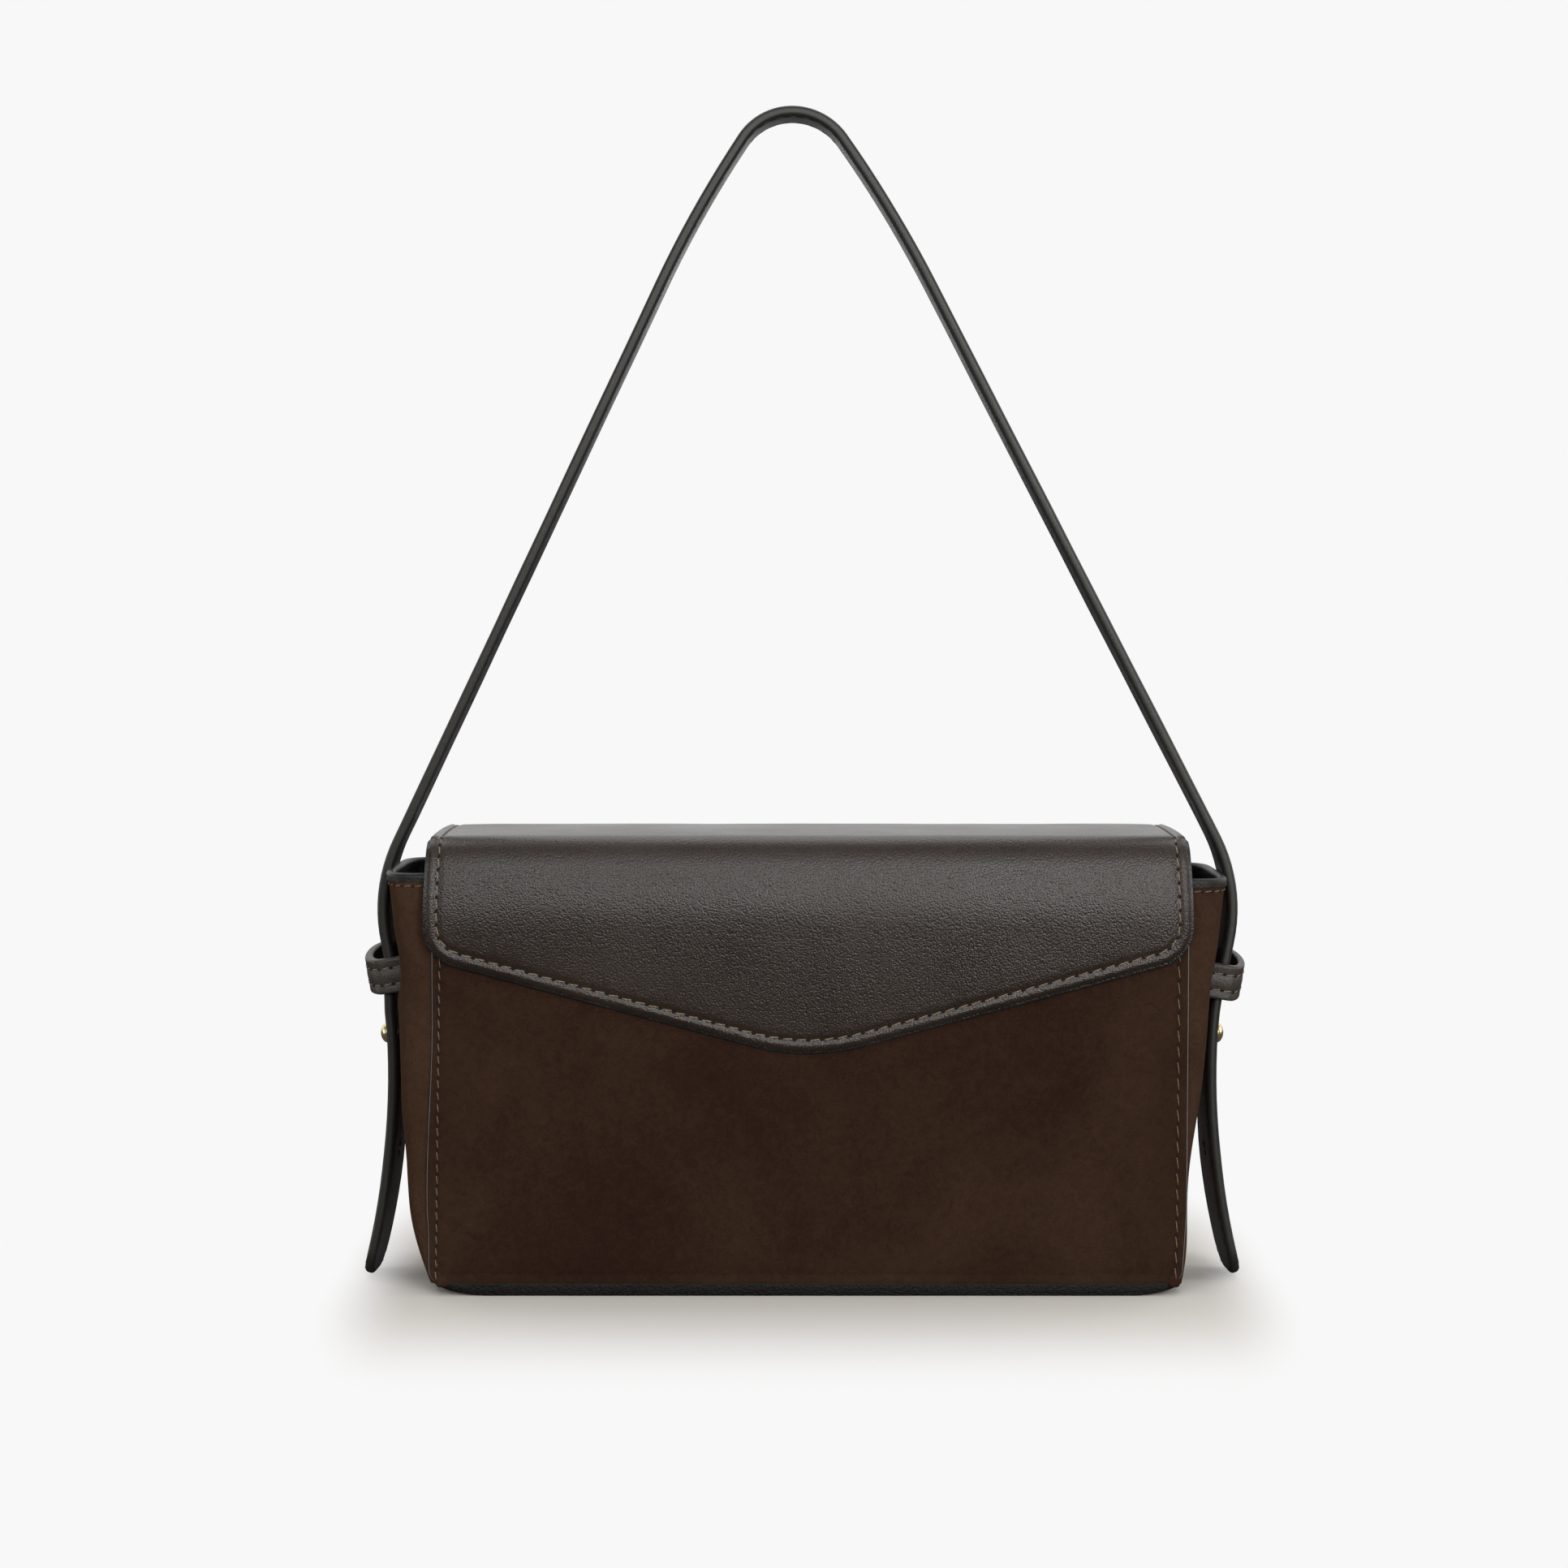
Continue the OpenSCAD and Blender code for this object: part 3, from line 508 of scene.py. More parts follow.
def sew(name, path, thread, body, pitch=4.3, width=0.55, slant=9.0, lift=0.22, holes=True):
    """A row of stitches along a path of (point, outward normal) pairs.

    The pitch, the width of the thread and its lift off the leather are in millimetres.
    """
    pitch, width, lift = pitch * MM, width * MM, lift * MM
    cover = 0.74
    lengths = [0.0]
    for (p, _), (q, _) in zip(path, path[1:]):
        lengths.append(lengths[-1] + (q - p).length)
    count = max(1, round(lengths[-1] / pitch))
    step = lengths[-1] / count

    def at(distance):
        last = len(path) - 1
        i = max(1, next((k for k, length in enumerate(lengths) if length >= distance), last))
        t = (distance - lengths[i - 1]) / max(1e-9, lengths[i] - lengths[i - 1])
        return path[i - 1][0].lerp(path[i][0], t), path[i - 1][1].lerp(path[i][1], t).normalized()

    points, faces, kinds = [], [], []
    for i in range(count):
        a, na = at(i * step)
        b, nb = at((i + 1) * step)
        up = (na + nb).normalized()
        along = (b - a).normalized()
        side = up.cross(along).normalized()
        twist = math.radians(slant)
        run = along * math.cos(twist) + side * math.sin(twist)
        side = up.cross(run).normalized()
        middle = (a + b) / 2 + up * lift
        base = len(points)
        points += [middle + run * x * step * cover + side * y * width + up * z * width * 0.8
                   for x, y, z in stitch_points]
        faces += [tuple(base + k for k in face) for face in stitch_faces]
        kinds += [0] * len(stitch_faces)
        if holes:
            base = len(points)
            points += [a + along * x * 0.7 * MM + side * y * 0.52 * MM + na * (z * 0.2 + 0.18) * MM
                       for x, y, z in hole_points]
            faces += [tuple(base + k for k in face) for face in hole_faces]
            kinds += [1] * len(hole_faces)
    mesh = bpy.data.meshes.new(name)
    mesh.from_pydata(points, [], faces)
    mesh.materials.append(thread)
    mesh.materials.append(painted_hole_shade)
    mesh.polygons.foreach_set("material_index", kinds)
    seam = bpy.data.objects.new(name, mesh)
    bpy.context.scene.collection.objects.link(seam)
    pick(seam)
    bpy.ops.object.shade_smooth()
    if body:
        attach(seam, body)
    return seam


# %% [markdown]
# The bag's own measures, in millimetres, are the same as in the construction model.
# A route is a start and a list of stretches, each with a length and a turn. The strap, the flap
# and the bindings all follow such routes, so one pair of functions serves them all.

# %% Measures and routes
body_w, body_d, rim_z, base_t = 240.6, 70.0, 133.0, 3.7
panel_t, board_t, lining_t, gusset_t = 1.6, 1.6, 0.6, 1.2
panel_draw, panel_draw_h, panel_corner_r = 1.4, 24.0, 5.0
seam_x = body_w / 2 - 1.6
panel_in = body_d / 2 - panel_t
wall_in = panel_in - board_t - lining_t
floor_in = base_t + board_t + lining_t
side_seam, flap_seam = 3.1, 3.4
SIDES = ((-1, "left"), (1, "right"))

flap_ply, flap_w, flap_tip_z, flap_slope = 1.6, 240.8, 78.9, math.radians(15.2)
flap_tip_r, flap_corner_r = 68.0, 12.0
flap_back_r, flap_back_turn, front_r = 6.0, 86.8, 11.6
flap_in = body_d / 2 + 1.0
hinge_y = body_d / 2 + flap_ply / 2
back_in = flap_back_r * (1 - math.cos(math.radians(flap_back_turn)))
top_run = hinge_y - back_in + flap_in + flap_ply - front_r
top_turn = 90 - flap_back_turn
hinge_z = (rim_z + front_r - top_run * math.tan(math.radians(top_turn / 2))
           - flap_back_r * math.sin(math.radians(flap_back_turn)))
hinge_level = round(hinge_z, 2)
back_top = hinge_level - flap_ply - 0.3
print("flap hinge at", round(hinge_z, 2))


def step_on(p, length, turn):
    heading = math.radians(p[2])
    if abs(turn) < 1e-3:
        return (p[0] + length * math.cos(heading), p[1] - length * math.sin(heading), p[2])
    radius, later = length / math.radians(turn), heading + math.radians(turn)
    return (p[0] + radius * (math.sin(later) - math.sin(heading)),
            p[1] + radius * (math.cos(later) - math.cos(heading)), p[2] + turn)


def along(runs, distance, start):
    p = start
    for i, (length, turn) in enumerate(runs):
        if distance <= length or i == len(runs) - 1:
            return step_on(p, distance, turn * distance / length)
        p = step_on(p, length, turn)
        distance -= length
    return p


def beside(p, off):
    """A point that lies off to the upper side of a route."""
    heading = math.radians(p[2])
    return p[0] + off * math.sin(heading), p[1] + off * math.cos(heading)


def bulge(z):
    """How far the gusset stands out at this height."""
    return 9.2 * (1 - math.exp(-z / 14)) + 4.6 * (max(0, z - 60) / (rim_z - 60)) ** 2


def gusset_x(z):
    return seam_x + bulge(z)


def ease(value, low, high):
    """Goes smoothly from 0 at low to 1 at high."""
    t = max(0, min(1, (value - low) / (high - low)))
    return t * t * (3 - 2 * t)


def softness(x, y, z, size, seed):
    """A slow, even noise from -1 to 1 that keeps soft pieces from looking machined."""
    return noise.noise(Vector((x / size + seed, y / size - seed, z / size + 2 * seed)))


# %% [markdown]
# The front and back panels are suede over board. They are flat, but hand work never leaves them
# perfectly flat: they are a touch fuller in the middle, and dip along the seam where the thread
# pulls them down. Their cut edges are painted a lighter grey, which reads as a fine line.

# %% Front and back panels
def panel_outline(top, grow=0.0):
    hw = body_w / 2 + grow
    corners = [(-hw + panel_draw, base_t), (hw - panel_draw, base_t), (hw, base_t + panel_draw_h),
               (hw, top), (-hw, top), (-hw, base_t + panel_draw_h)]
    return pattern(corners, [panel_corner_r, panel_corner_r, 20, 0, 0, 20])


def panel_relief(cuts, u, v):
    """Height of the panel's face over its flat sheet, in metres."""
    edge = inside_by(cuts, u, v) / MM
    seam = -0.3 * math.exp(-((edge - side_seam) / 0.8) ** 2)
    roll = 0.15 * math.exp(-((edge - 0.9) / 0.6) ** 2) - 0.2 * math.exp(-edge / 0.4)
    full = 0.35 * (1 - math.exp(-max(0, edge - side_seam) / 18))
    return (seam + roll + full) * MM


def make_panel(name, side, top, node):
    outline = panel_outline(top)
    cuts = cuts_of(outline)
    piece = cut_flat(name, outline, [0.5, 0.9, 1.3, 0.7, 0.7],
                     spread(-body_w / 2, body_w / 2, 4), spread(base_t, top, 4))
    thicken(piece, panel_t, 0.45, 3)
    dress(piece, body_suede, panel_edge_paint, limit=0.9)

    def place(u, v, h):
        lift = panel_relief(cuts, u, v) * h / (panel_t * MM)
        nap = 0.12 * softness(u, v, 0, 0.02, 3 + side) * MM * h / (panel_t * MM)
        y = panel_in * MM + h + lift + nap
        # the left edge stands 2 mm further in at the top than at the foot
        inwards = 2.1 * ease(v / MM, 32, 90) - 0.7 - 0.9 * (1 - ease(v / MM, 2, 24))
        x = u - inwards * MM * min(0, u / (body_w / 2 * MM))
        return (x, -y, v) if side < 0 else (-x, y, v)

    fold(piece, place)
    hand_over(piece, "bag_body", "suede", node)
    return cuts, place


front_cuts, on_front = make_panel("front_suede_panel", -1, rim_z, "front_panel")
back_cuts, on_back = make_panel("back_suede_panel", 1, back_top, "back_panel")

# %% [markdown]
# The seam that joins panel and gusset runs 3.1 mm inside the panel's edge, down both sides.

# %% Panel seams
def panel_side_path(side, on_panel, top):
    """Down one side of a panel, 3.1 mm inside its edge."""
    outline = [(x, y) for x, y in panel_outline(top, -side_seam) if y > 9 * MM and x * side > 0]
    outline.sort(key=lambda p: -p[1])
    outline.append((outline[-1][0] * 0.997, 4.6 * MM))
    first = Vector(on_panel(outline[0][0], outline[0][1], panel_t * MM))
    out = Vector((0, -1 if first.y < 0 else 1, 0))
    return [(Vector(on_panel(x, y, panel_t * MM)), out) for x, y in outline]


for side, word in SIDES:
    # in the photograph the left seam has shorter stitches than the right one
    pitch = 3.9 if side < 0 else 5.0
    for on_panel, top, face in ((on_front, rim_z, "front"), (on_back, back_top, "back")):
        path = panel_side_path(side, on_panel, top - 1.5)
        sew(f"{face}_{word}_seam_thread", path, dark_thread, "bag_body", pitch, 0.42, 8)
print("panel seams sewn")

# %% [markdown]
# The gusset is one soft strip of suede, sewn behind both panels and standing out between them
# like a squared arch. It is cut as a grid whose columns run round the arch and whose rows run
# up the bag, and each point is moved to the arch at its height, with a slow noise as sag.

# %% Gussets
def arch_point(t, z, off=0.0):
    """A point round the gusset's arch: t runs from -1 at the front seam to 1 at the back."""
    a = math.radians(90 * t)
    power = 2 / 4.5
    x = seam_x + (bulge(z) - off) * abs(math.cos(a)) ** power
    y = (panel_in - off) * math.copysign(abs(math.sin(a)) ** power, math.sin(a))
    return x, y


def arch_spaced(z, count=400):
    """The arch at one height, as (distance along it, t) so that columns can be evenly spaced."""
    table, total, last = [], 0.0, None
    for i in range(count + 1):
        t = -1 + 2 * i / count
        x, y = arch_point(t, z)
        if last:
            total += math.hypot(x - last[0], y - last[1])
        table.append((total, t))
        last = (x, y)
    return [(d / total, t) for d, t in table]


arch_table = arch_spaced(90)


def even_t(share):
    """The t at this share of the way round the arch."""
    for (d0, t0), (d1, t1) in zip(arch_table, arch_table[1:]):
        if share <= d1:
            return t0 + (t1 - t0) * (share - d0) / max(1e-9, d1 - d0)
    return 1.0


flange = 6.0


def gusset_sag(x, y, z, side):
    """How far the soft wall gives inwards at a point, in millimetres."""
    open_wall = math.exp(-(y / 26) ** 4)
    give = 0.35 * open_wall * (1 + softness(x, y, z, 32, 7 + side))
    # in the photograph the left wall is pushed out, and the right one is pressed in near the floor
    if side < 0:
        push = (-1.7 * ease(z, 2, 28) - 1.2 * ease(z, 40, 62)) * (
            1 - 0.6 * ease(z, 92, 101) + 0.3 * ease(z, 106, 116))
    else:
        push = 5.4 * math.exp(-((z - 34) / 28) ** 2) - 1.3 * ease(z, 96, 112)
    return give + push * min(1, max(0, x - seam_x) / max(0.1, bulge(z)))


def rim_tilt(side, y, z):
    """The rim stands a little higher on the left, and falls towards the back."""
    return (-0.9 * side - 0.02 * y - 0.3) * ease(z, 90, rim_z)


def on_gusset(side, share, z, off):
    """A point of the gusset's wall. The share runs from 0 at the front seam to 1 at the back.

    Below 0 and above 1 it runs along the flanges behind the panels.
    """
    if share < 0:
        x, y = seam_x + share * flange, -(panel_in - off)
    elif share > 1:
        x, y = seam_x - (share - 1) * flange, panel_in - off
    else:
        x, y = arch_point(even_t(share), z, off)
        x -= gusset_sag(x, y, z, side)
    return Vector((side * x * MM, y * MM, (z + rim_tilt(side, y, z)) * MM))


def make_gusset(side, word):
    low, high = base_t + 0.1, rim_z - 0.2
    piece = lay_grid(f"{word}_suede_gusset", -1, 2, low, high, 96, 56)
    columns = sorted({round(v.co.x, 5) for v in piece.data.vertices})
    shares = [-1, -0.4] + [i / (len(columns) - 5) for i in range(len(columns) - 4)] + [1.4, 2]
    move = dict(zip(columns, shares))
    for vertex in piece.data.vertices:
        vertex.co.x = move[round(vertex.co.x, 5)]
        t = (vertex.co.y - low) / (high - low)
        vertex.co.y = low + (high - low) * t ** 1.25
    thicken_share(piece)
    dress(piece, gusset_suede)
    fold(piece, lambda u, v, h: on_gusset(side, u, v, -h * gusset_t))
    hand_over(piece, "bag_body", "gusset_suede", f"{word}_gusset", flip=side > 0)


for side, word in SIDES:
    make_gusset(side, word)

# %% [markdown]
# The rim of the gussets and of the front is bound with a narrow folded strip of smooth leather.
# Its section is a small arch over the edge. We lay a grid, wrap its short side over that arch,
# and run its long side round the gusset or along the front.

# %% Rim bindings
def over_edge(s, inner, drop, lift=0.0):
    """The section of a binding: s from 0 outside to 1 inside, as (offset inwards, height)."""
    radius = (inner + 0.3) / 2
    middle = inner / 2
    foot = rim_z - 0.6
    length = 2 * drop + math.pi * radius
    d = s * length
    if d < drop:
        return middle - radius - lift, foot - drop + d
    if d > length - drop:
        return middle + radius + lift, foot - (d - (length - drop))
    a = (d - drop) / radius
    return (middle - (radius + lift) * math.cos(a),
            foot + min(1.0, 1.3 / radius) * (radius + lift) * math.sin(a))


def make_side_binding(side, word):
    piece = lay_grid(f"{word}_rim_binding", 0, 1, 0, 1, 90, 16)
    thicken(piece, 0.25, 0)
    dress(piece, binding_leather)

    def place(u, v, h):
        off, z = over_edge(v, gusset_t + lining_t, 1.5, h / MM)
        x, y = arch_point(even_t(u), rim_z, off)
        x = max(body_w / 2 - 1, x - gusset_sag(x, y, rim_z, side))
        return side * x * MM, y * MM, (z + rim_tilt(side, y, z)) * MM

    fold(piece, place)
    hand_over(piece, "bag_body", "binding_leather", f"{word}_top_binding", flip=side > 0)
    rows = []
    seam_z = rim_z - 3.4
    for i in range(91):
        share = 0.02 + 0.96 * i / 90
        p = on_gusset(side, share, seam_z, -0.02)
        q = on_gusset(side, min(1, share + 0.004), seam_z, -0.02)
        tangent = (q - p).normalized()
        out = Vector((0, 0, 1)).cross(tangent) * (-1 if side > 0 else 1)
        rows.append((p, out.normalized()))
    sew(f"{word}_rim_thread", rows, dark_thread, "bag_body", 3.6, 0.46, 8)


for side, word in SIDES:
    make_side_binding(side, word)


def make_front_binding():
    piece = lay_grid("front_rim_binding", -body_w / 2 * MM, body_w / 2 * MM, 0, 1, 80, 16)
    thicken(piece, 0.3, 0)
    dress(piece, binding_leather)

    def place(u, v, h):
        off, z = over_edge(v, panel_t + board_t + lining_t + 0.1, 1.2, h / MM)
        return u, (-body_d / 2 + off) * MM, z * MM

    fold(piece, place)
    hand_over(piece, "bag_body", "binding_leather", "front_top_binding", flip=True)


make_front_binding()

# %% [markdown]
# Inside is the lining: front, back, gussets and floor are separate sheets sewn together at the
# corners. Each one is a thin grid with a little slack, kept just inside the wall that carries it.

# %% Lining
def make_flat_lining(name, side, top, node):
    hw = seam_x - 0.6
    piece = lay_grid(name, -hw * MM, hw * MM, floor_in * MM, top * MM, 60, 34)
    thicken(piece, lining_t, 0)
    dress(piece, lining_cloth)

    def place(u, v, h):
        draw = panel_draw * max(0, 1 - (v / MM - base_t) / panel_draw_h)
        x = u * (1 - draw / (body_w / 2))
        slack = 0.18 * (softness(u, v, 0, 0.03, 11 + side) + 1) * MM
        y = (panel_in - board_t) * MM - h - slack
        return (x, side * y, v)

    fold(piece, place)
    hand_over(piece, "bag_body", "lining", node, flip=side > 0)


make_flat_lining("front_lining_sheet", -1, rim_z - 1, "front_lining")
make_flat_lining("back_lining_sheet", 1, back_top - 0.5, "back_lining")


def make_gusset_lining(side, word):
    piece = lay_grid(f"{word}_gusset_lining_sheet", 0, 1, floor_in, rim_z - 0.6, 60, 34)
    thicken_share(piece)
    dress(piece, lining_cloth)

    def place(u, v, h):
        x, y = arch_point(even_t(u), v, gusset_t + 0.1 - h * lining_t)
        x -= gusset_sag(x, y, v, side)
        x -= 0.1 * (1 + softness(x, y, v, 14, 5)) * math.exp(-(y / 28) ** 4)
        return side * x * MM, y * MM, (v + rim_tilt(side, y, v)) * MM

    fold(piece, place)
    hand_over(piece, "bag_body", "lining", f"{word}_gusset_lining", flip=side > 0)


for side, word in SIDES:
    make_gusset_lining(side, word)

base_half = seam_x - panel_draw
floor_sheet = cut_flat("base_lining_sheet",
                       pattern(box(base_half, -wall_in, wall_in), [3, 3, 3, 3]), [3],
                       spread(-base_half, base_half, 6), spread(-wall_in, wall_in, 6))
thicken(floor_sheet, lining_t, 0.2)
dress(floor_sheet, lining_cloth)


def on_floor(u, v, h):
    """The lining lies on the base board, and its face is not quite flat."""
    slack = 0.25 * MM * (h > 0) * (1 + softness(u, v, 0, 0.03, 2))
    return u, v, (base_t + board_t) * MM + h + slack


fold(floor_sheet, on_floor)
hand_over(floor_sheet, "bag_body", "lining", "base_lining")

# %% [markdown]
# A leather facing finishes the top of the back wall inside, and a slip pocket is sewn below it.
# The pocket is a bag in itself: a front sheet that stands off the wall, with a bound mouth.

# %% Facing and slip pocket
facing_hw, facing_t = seam_x - 7, 0.7
facing_low, facing_high = back_top - 18, back_top - 0.3
facing = cut_flat("back_facing_leather",
                  pattern(box(facing_hw, facing_low, facing_high), [4, 4, 4, 4]), [1, 1.5],
                  spread(-facing_hw, facing_hw, 8), spread(facing_low, facing_high, 5))
thicken(facing, facing_t, 0.25)
dress(facing, inside_leather, edge_paint)
fold(facing, lambda u, v, h: (u, (wall_in - 0.45) * MM - h, v))
hand_over(facing, "bag_body", "binding_leather", "back_facing", flip=True)
forwards = Vector((0, -1, 0))
facing_row = [(Vector((x * MM, (wall_in - 1.15) * MM, (facing_low + 2.2) * MM)), forwards)
              for x in (-facing_hw + 3, 0, facing_hw - 3)]
sew("back_facing_thread", facing_row, black_thread, "bag_body")

pocket_hw, pocket_h, pocket_d, pocket_z = 75, 78, 3.0, 28
pocket_top = pocket_z + pocket_h
pocket = cut_flat("slip_pocket_sheet",
                  pattern(box(pocket_hw, pocket_z, pocket_top), [6, 6, 0, 0]), [1.2, 1.2, 2],
                  spread(-pocket_hw, pocket_hw, 4), spread(pocket_z, pocket_top, 4))
thicken(pocket, lining_t, 0.15)
dress(pocket, lining_cloth)


def on_pocket(u, v, h):
    """The pocket lies on the wall along its sides and foot and stands off it at its mouth."""
    side_gap = min(pocket_hw - abs(u / MM), v / MM - pocket_z)
    stand = (pocket_d - 1.2) * (1 - math.exp(-max(0, side_gap - 1.5) / 6))
    slack = 0.25 * softness(u, v, 0, 0.025, 9) * stand / pocket_d
    return u, (wall_in - 0.5 - stand - slack) * MM - h, v


fold(pocket, on_pocket)
hand_over(pocket, "bag_body", "lining", "inner_pocket", flip=True)
mouth_hw = (pocket_hw - 0.2) * MM
mouth = lay_grid("slip_pocket_mouth_binding", -mouth_hw, mouth_hw, 0, 1, 60, 8)
thicken(mouth, 0.3, 0)
dress(mouth, inside_leather)


def on_mouth(u, v, h):
    """The binding runs over the pocket's edge: v goes from its back foot to its front one."""
    x, y, z = on_pocket(u, (pocket_top - 0.5) * MM, lining_t / 2 * MM)
    a = math.pi * (v - 0.5)
    drop = max(0, abs(v - 0.5) - 0.2) * 14 * MM
    return x, y - math.sin(a) * (0.7 * MM + h), z + math.cos(a) * (0.7 * MM + h) - drop


fold(mouth, on_mouth)
hand_over(mouth, "bag_body", "binding_leather", flip=True)
seam_hw, seam_top, seam_foot = pocket_hw - 2, pocket_top - 2, pocket_z + 2
pocket_seam = rounded([(-seam_hw, seam_top), (-seam_hw, seam_foot), (seam_hw, seam_foot),
                       (seam_hw, seam_top)], [0, 5, 5, 0])
pocket_path = [(Vector(on_pocket(x * MM, y * MM, lining_t * MM)), forwards)
               for x, y in pocket_seam]
sew("slip_pocket_thread", pocket_path, black_thread, "bag_body", 4)

# %% [markdown]
# The base is a thick strip of leather. Its ends curl up from the floor to the seams, and its
# long edges are rounded. A plane is cut to its outline, thickened and then curled.

# %% Base strip
strip_hw, strip_hd = 119.5, body_d / 2 - 0.2
base_strip = cut_flat("base_leather_strip",
                      pattern(box(strip_hw, -strip_hd, strip_hd), [7, 7, 7, 7]), [0.9, 1.5],
                      spread(-strip_hw - 1.5, strip_hw + 1.5, 3), spread(-body_d / 2, body_d / 2, 5))
thicken(base_strip, base_t, 1.1, 4)
dress(base_strip, base_leather)


def on_base(u, v, h):
    """The last 18.5 mm of each end curl up, and stay level on top."""
    out = max(0, abs(u) / MM - 101)
    curl = min(base_t - 0.7, 2.9 * (out / 17) ** 2)
    return u, v, h * (1 - curl / base_t) + curl * MM


fold(base_strip, on_base)
hand_over(base_strip, "bag_body", "base_leather", "base_panel", angle=60)

# %% [markdown]
# Where each panel seam ends at the foot, the turned end of the strip shows as a small nub.

# %% Seam-end nubs
for side, word in SIDES:
    for face, sign in (("front", -1), ("back", 1)):
        deselect_everything()
        bpy.ops.mesh.primitive_cube_add(
            size=1, location=(side * 116.4 * MM, sign * 34.3 * MM, 4.5 * MM))
        nub = bpy.context.object
        nub.name = f"{face}_{word}_seam_end"
        nub.scale = (3.9 * MM, 2.6 * MM, 3.6 * MM)
        bpy.ops.object.transform_apply(location=True, rotation=True, scale=True)
        soften = nub.modifiers.new("rounding", "BEVEL")
        soften.width = 1.2 * MM
        soften.segments = 4
        bpy.ops.object.modifier_apply(modifier=soften.name)
        nub.data.materials.append(body_suede)
        hand_over(nub, "bag_body", "suede")

# %% [markdown]
# The flap is two leathers, face to face, with a thin stiffener between them. Both are cut flat:
# the outer one to the envelope outline, the lower one a millimetre larger so that it shows as
# a second edge. The pattern runs from the hinge at v = 0, over the top, and down the front.

# %% Flap route and outline
front_lean = 12.0
back_fold = flap_back_r * math.radians(flap_back_turn)
top_len = top_run / math.cos(math.radians(top_turn / 2))
front_fold = [(3, 9), (6.0, 51), (5.5, 30 - front_lean)]
soft_front = [(5, 1.5), (4, 3.0), (5, 5.5), (4, 3.0), (24, 1.0), (rim_z - flap_tip_z, 0)]
flap_runs = [(back_fold, flap_back_turn), (top_len, top_turn)] + front_fold + soft_front
flap_start = (-hinge_y, hinge_z, -90)
fold_end = sum(length for length, _ in flap_runs[:5])
after_fold = along(flap_runs, fold_end, flap_start)
bend_end = fold_end + (after_fold[1] - rim_z) / math.cos(math.radians(front_lean))
print("the flap's front fold ends at", round(bend_end, 2))


def flap_outline(grow):
    """The envelope outline of a flap leather, flat: v grows from the hinge to the tip."""
    hw = flap_w / 2 + grow
    tip = (flap_tip_z - grow / math.cos(flap_slope)
           - flap_tip_r * (1 / math.cos(flap_slope) - 1))
    tip_v = bend_end + rim_z - tip
    side_v = tip_v - hw * math.tan(flap_slope)
    corners = [(-hw, 0), (hw, 0), (hw, side_v), (0, tip_v), (-hw, side_v)]
    return pattern(corners, [0, 0, flap_corner_r + grow, flap_tip_r, flap_corner_r + grow])


def on_flap(u, v, h):
    """The flap's own fold: over the top and down the front."""
    p = along(flap_runs, max(0, v / MM), flap_start)
    narrow = 1 - 0.009 / (1 + math.exp((v / MM - bend_end + 2) / 5))
    forward, z = beside(p, h / MM)
    return u * narrow, -forward * MM, z * MM


def flap_relief(cuts, u, v):
    """Face relief of the flap: pulled down at the seam, raised along the edge, soft inside."""
    edge = inside_by(cuts, u, v) / MM
    seam = -0.36 * math.exp(-((edge - flap_seam) / 0.95) ** 2)
    rim = 0.22 * math.exp(-((edge - 1.7) / 0.8) ** 2) - 0.34 * math.exp(-edge / 0.6)
    full = 0.3 * (1 - math.exp(-max(0, edge - flap_seam) / 10))
    wave = 0.22 * softness(u, v, 0, 0.045, 4) + 0.07 * softness(u, v, 0, 0.012, 8)
    return (seam + rim + full + wave * (1 - math.exp(-edge / 6))) * MM


# %% [markdown]
# The two leathers are cut, thickened and folded. The stitch seam runs 3.4 mm inside the edge.

# %% Flap leathers
fold_lines = ([back_fold * i / 6 * MM for i in range(1, 7)]
              + spread(back_fold, back_fold + top_len, 4)
              + [(fold_end - 15 + i) * MM for i in range(15)]
              + spread(bend_end, bend_end + 24, 1.7)
              + spread(bend_end + 24, bend_end + 54, 2.5))
outer_outline = flap_outline(0)
# the relief follows the free edges, and not the one at the hinge
face_cuts = [cut for cut in cuts_of(outer_outline) if cut[3] > -0.9]


def on_flap_face(u, v, h):
    return on_flap(u, v, h + flap_relief(face_cuts, u, v) * h / (flap_ply * MM))


flap_outer = cut_flat("flap_outer_leather", outer_outline, [0.7, 1.0, 1.0, 0.7, 0.7, 1.2],
                      spread(-flap_w / 2, flap_w / 2, 2.8), fold_lines)
thicken(flap_outer, flap_ply, 0.45, 3)
dress(flap_outer, flap_leather, edge_paint)
fold(flap_outer, on_flap_face)
hand_over(flap_outer, "flap", "flap_leather", "flap_outer", flip=True)

flap_under = cut_flat("flap_under_leather", flap_outline(1.0), [0.8, 1.6, 2],
                      spread(-flap_w / 2, flap_w / 2, 6), fold_lines)
thicken(flap_under, 1.5, 0.45, 3)
dress(flap_under, inside_leather, edge_paint)
fold(flap_under, lambda u, v, h: on_flap(u, v, h - 1.55 * MM))
hand_over(flap_under, "flap", "binding_leather", "flap_lining", flip=True)

stiff_low = (back_fold + 7) * MM
stiff_outline = [(x, max(y, stiff_low)) for x, y in flap_outline(-8)]
stiff = cut_flat("flap_stiffener_sheet", stiff_outline, [], spread(-flap_w / 2, flap_w / 2, 12),
                 fold_lines)
thicken(stiff, 0.5, 0)
dress(stiff, board_grey)
fold(stiff, lambda u, v, h: on_flap(u, v, h - 0.28 * MM))
hand_over(stiff, "flap", "stiffening", "flap_stiffener", flip=True)

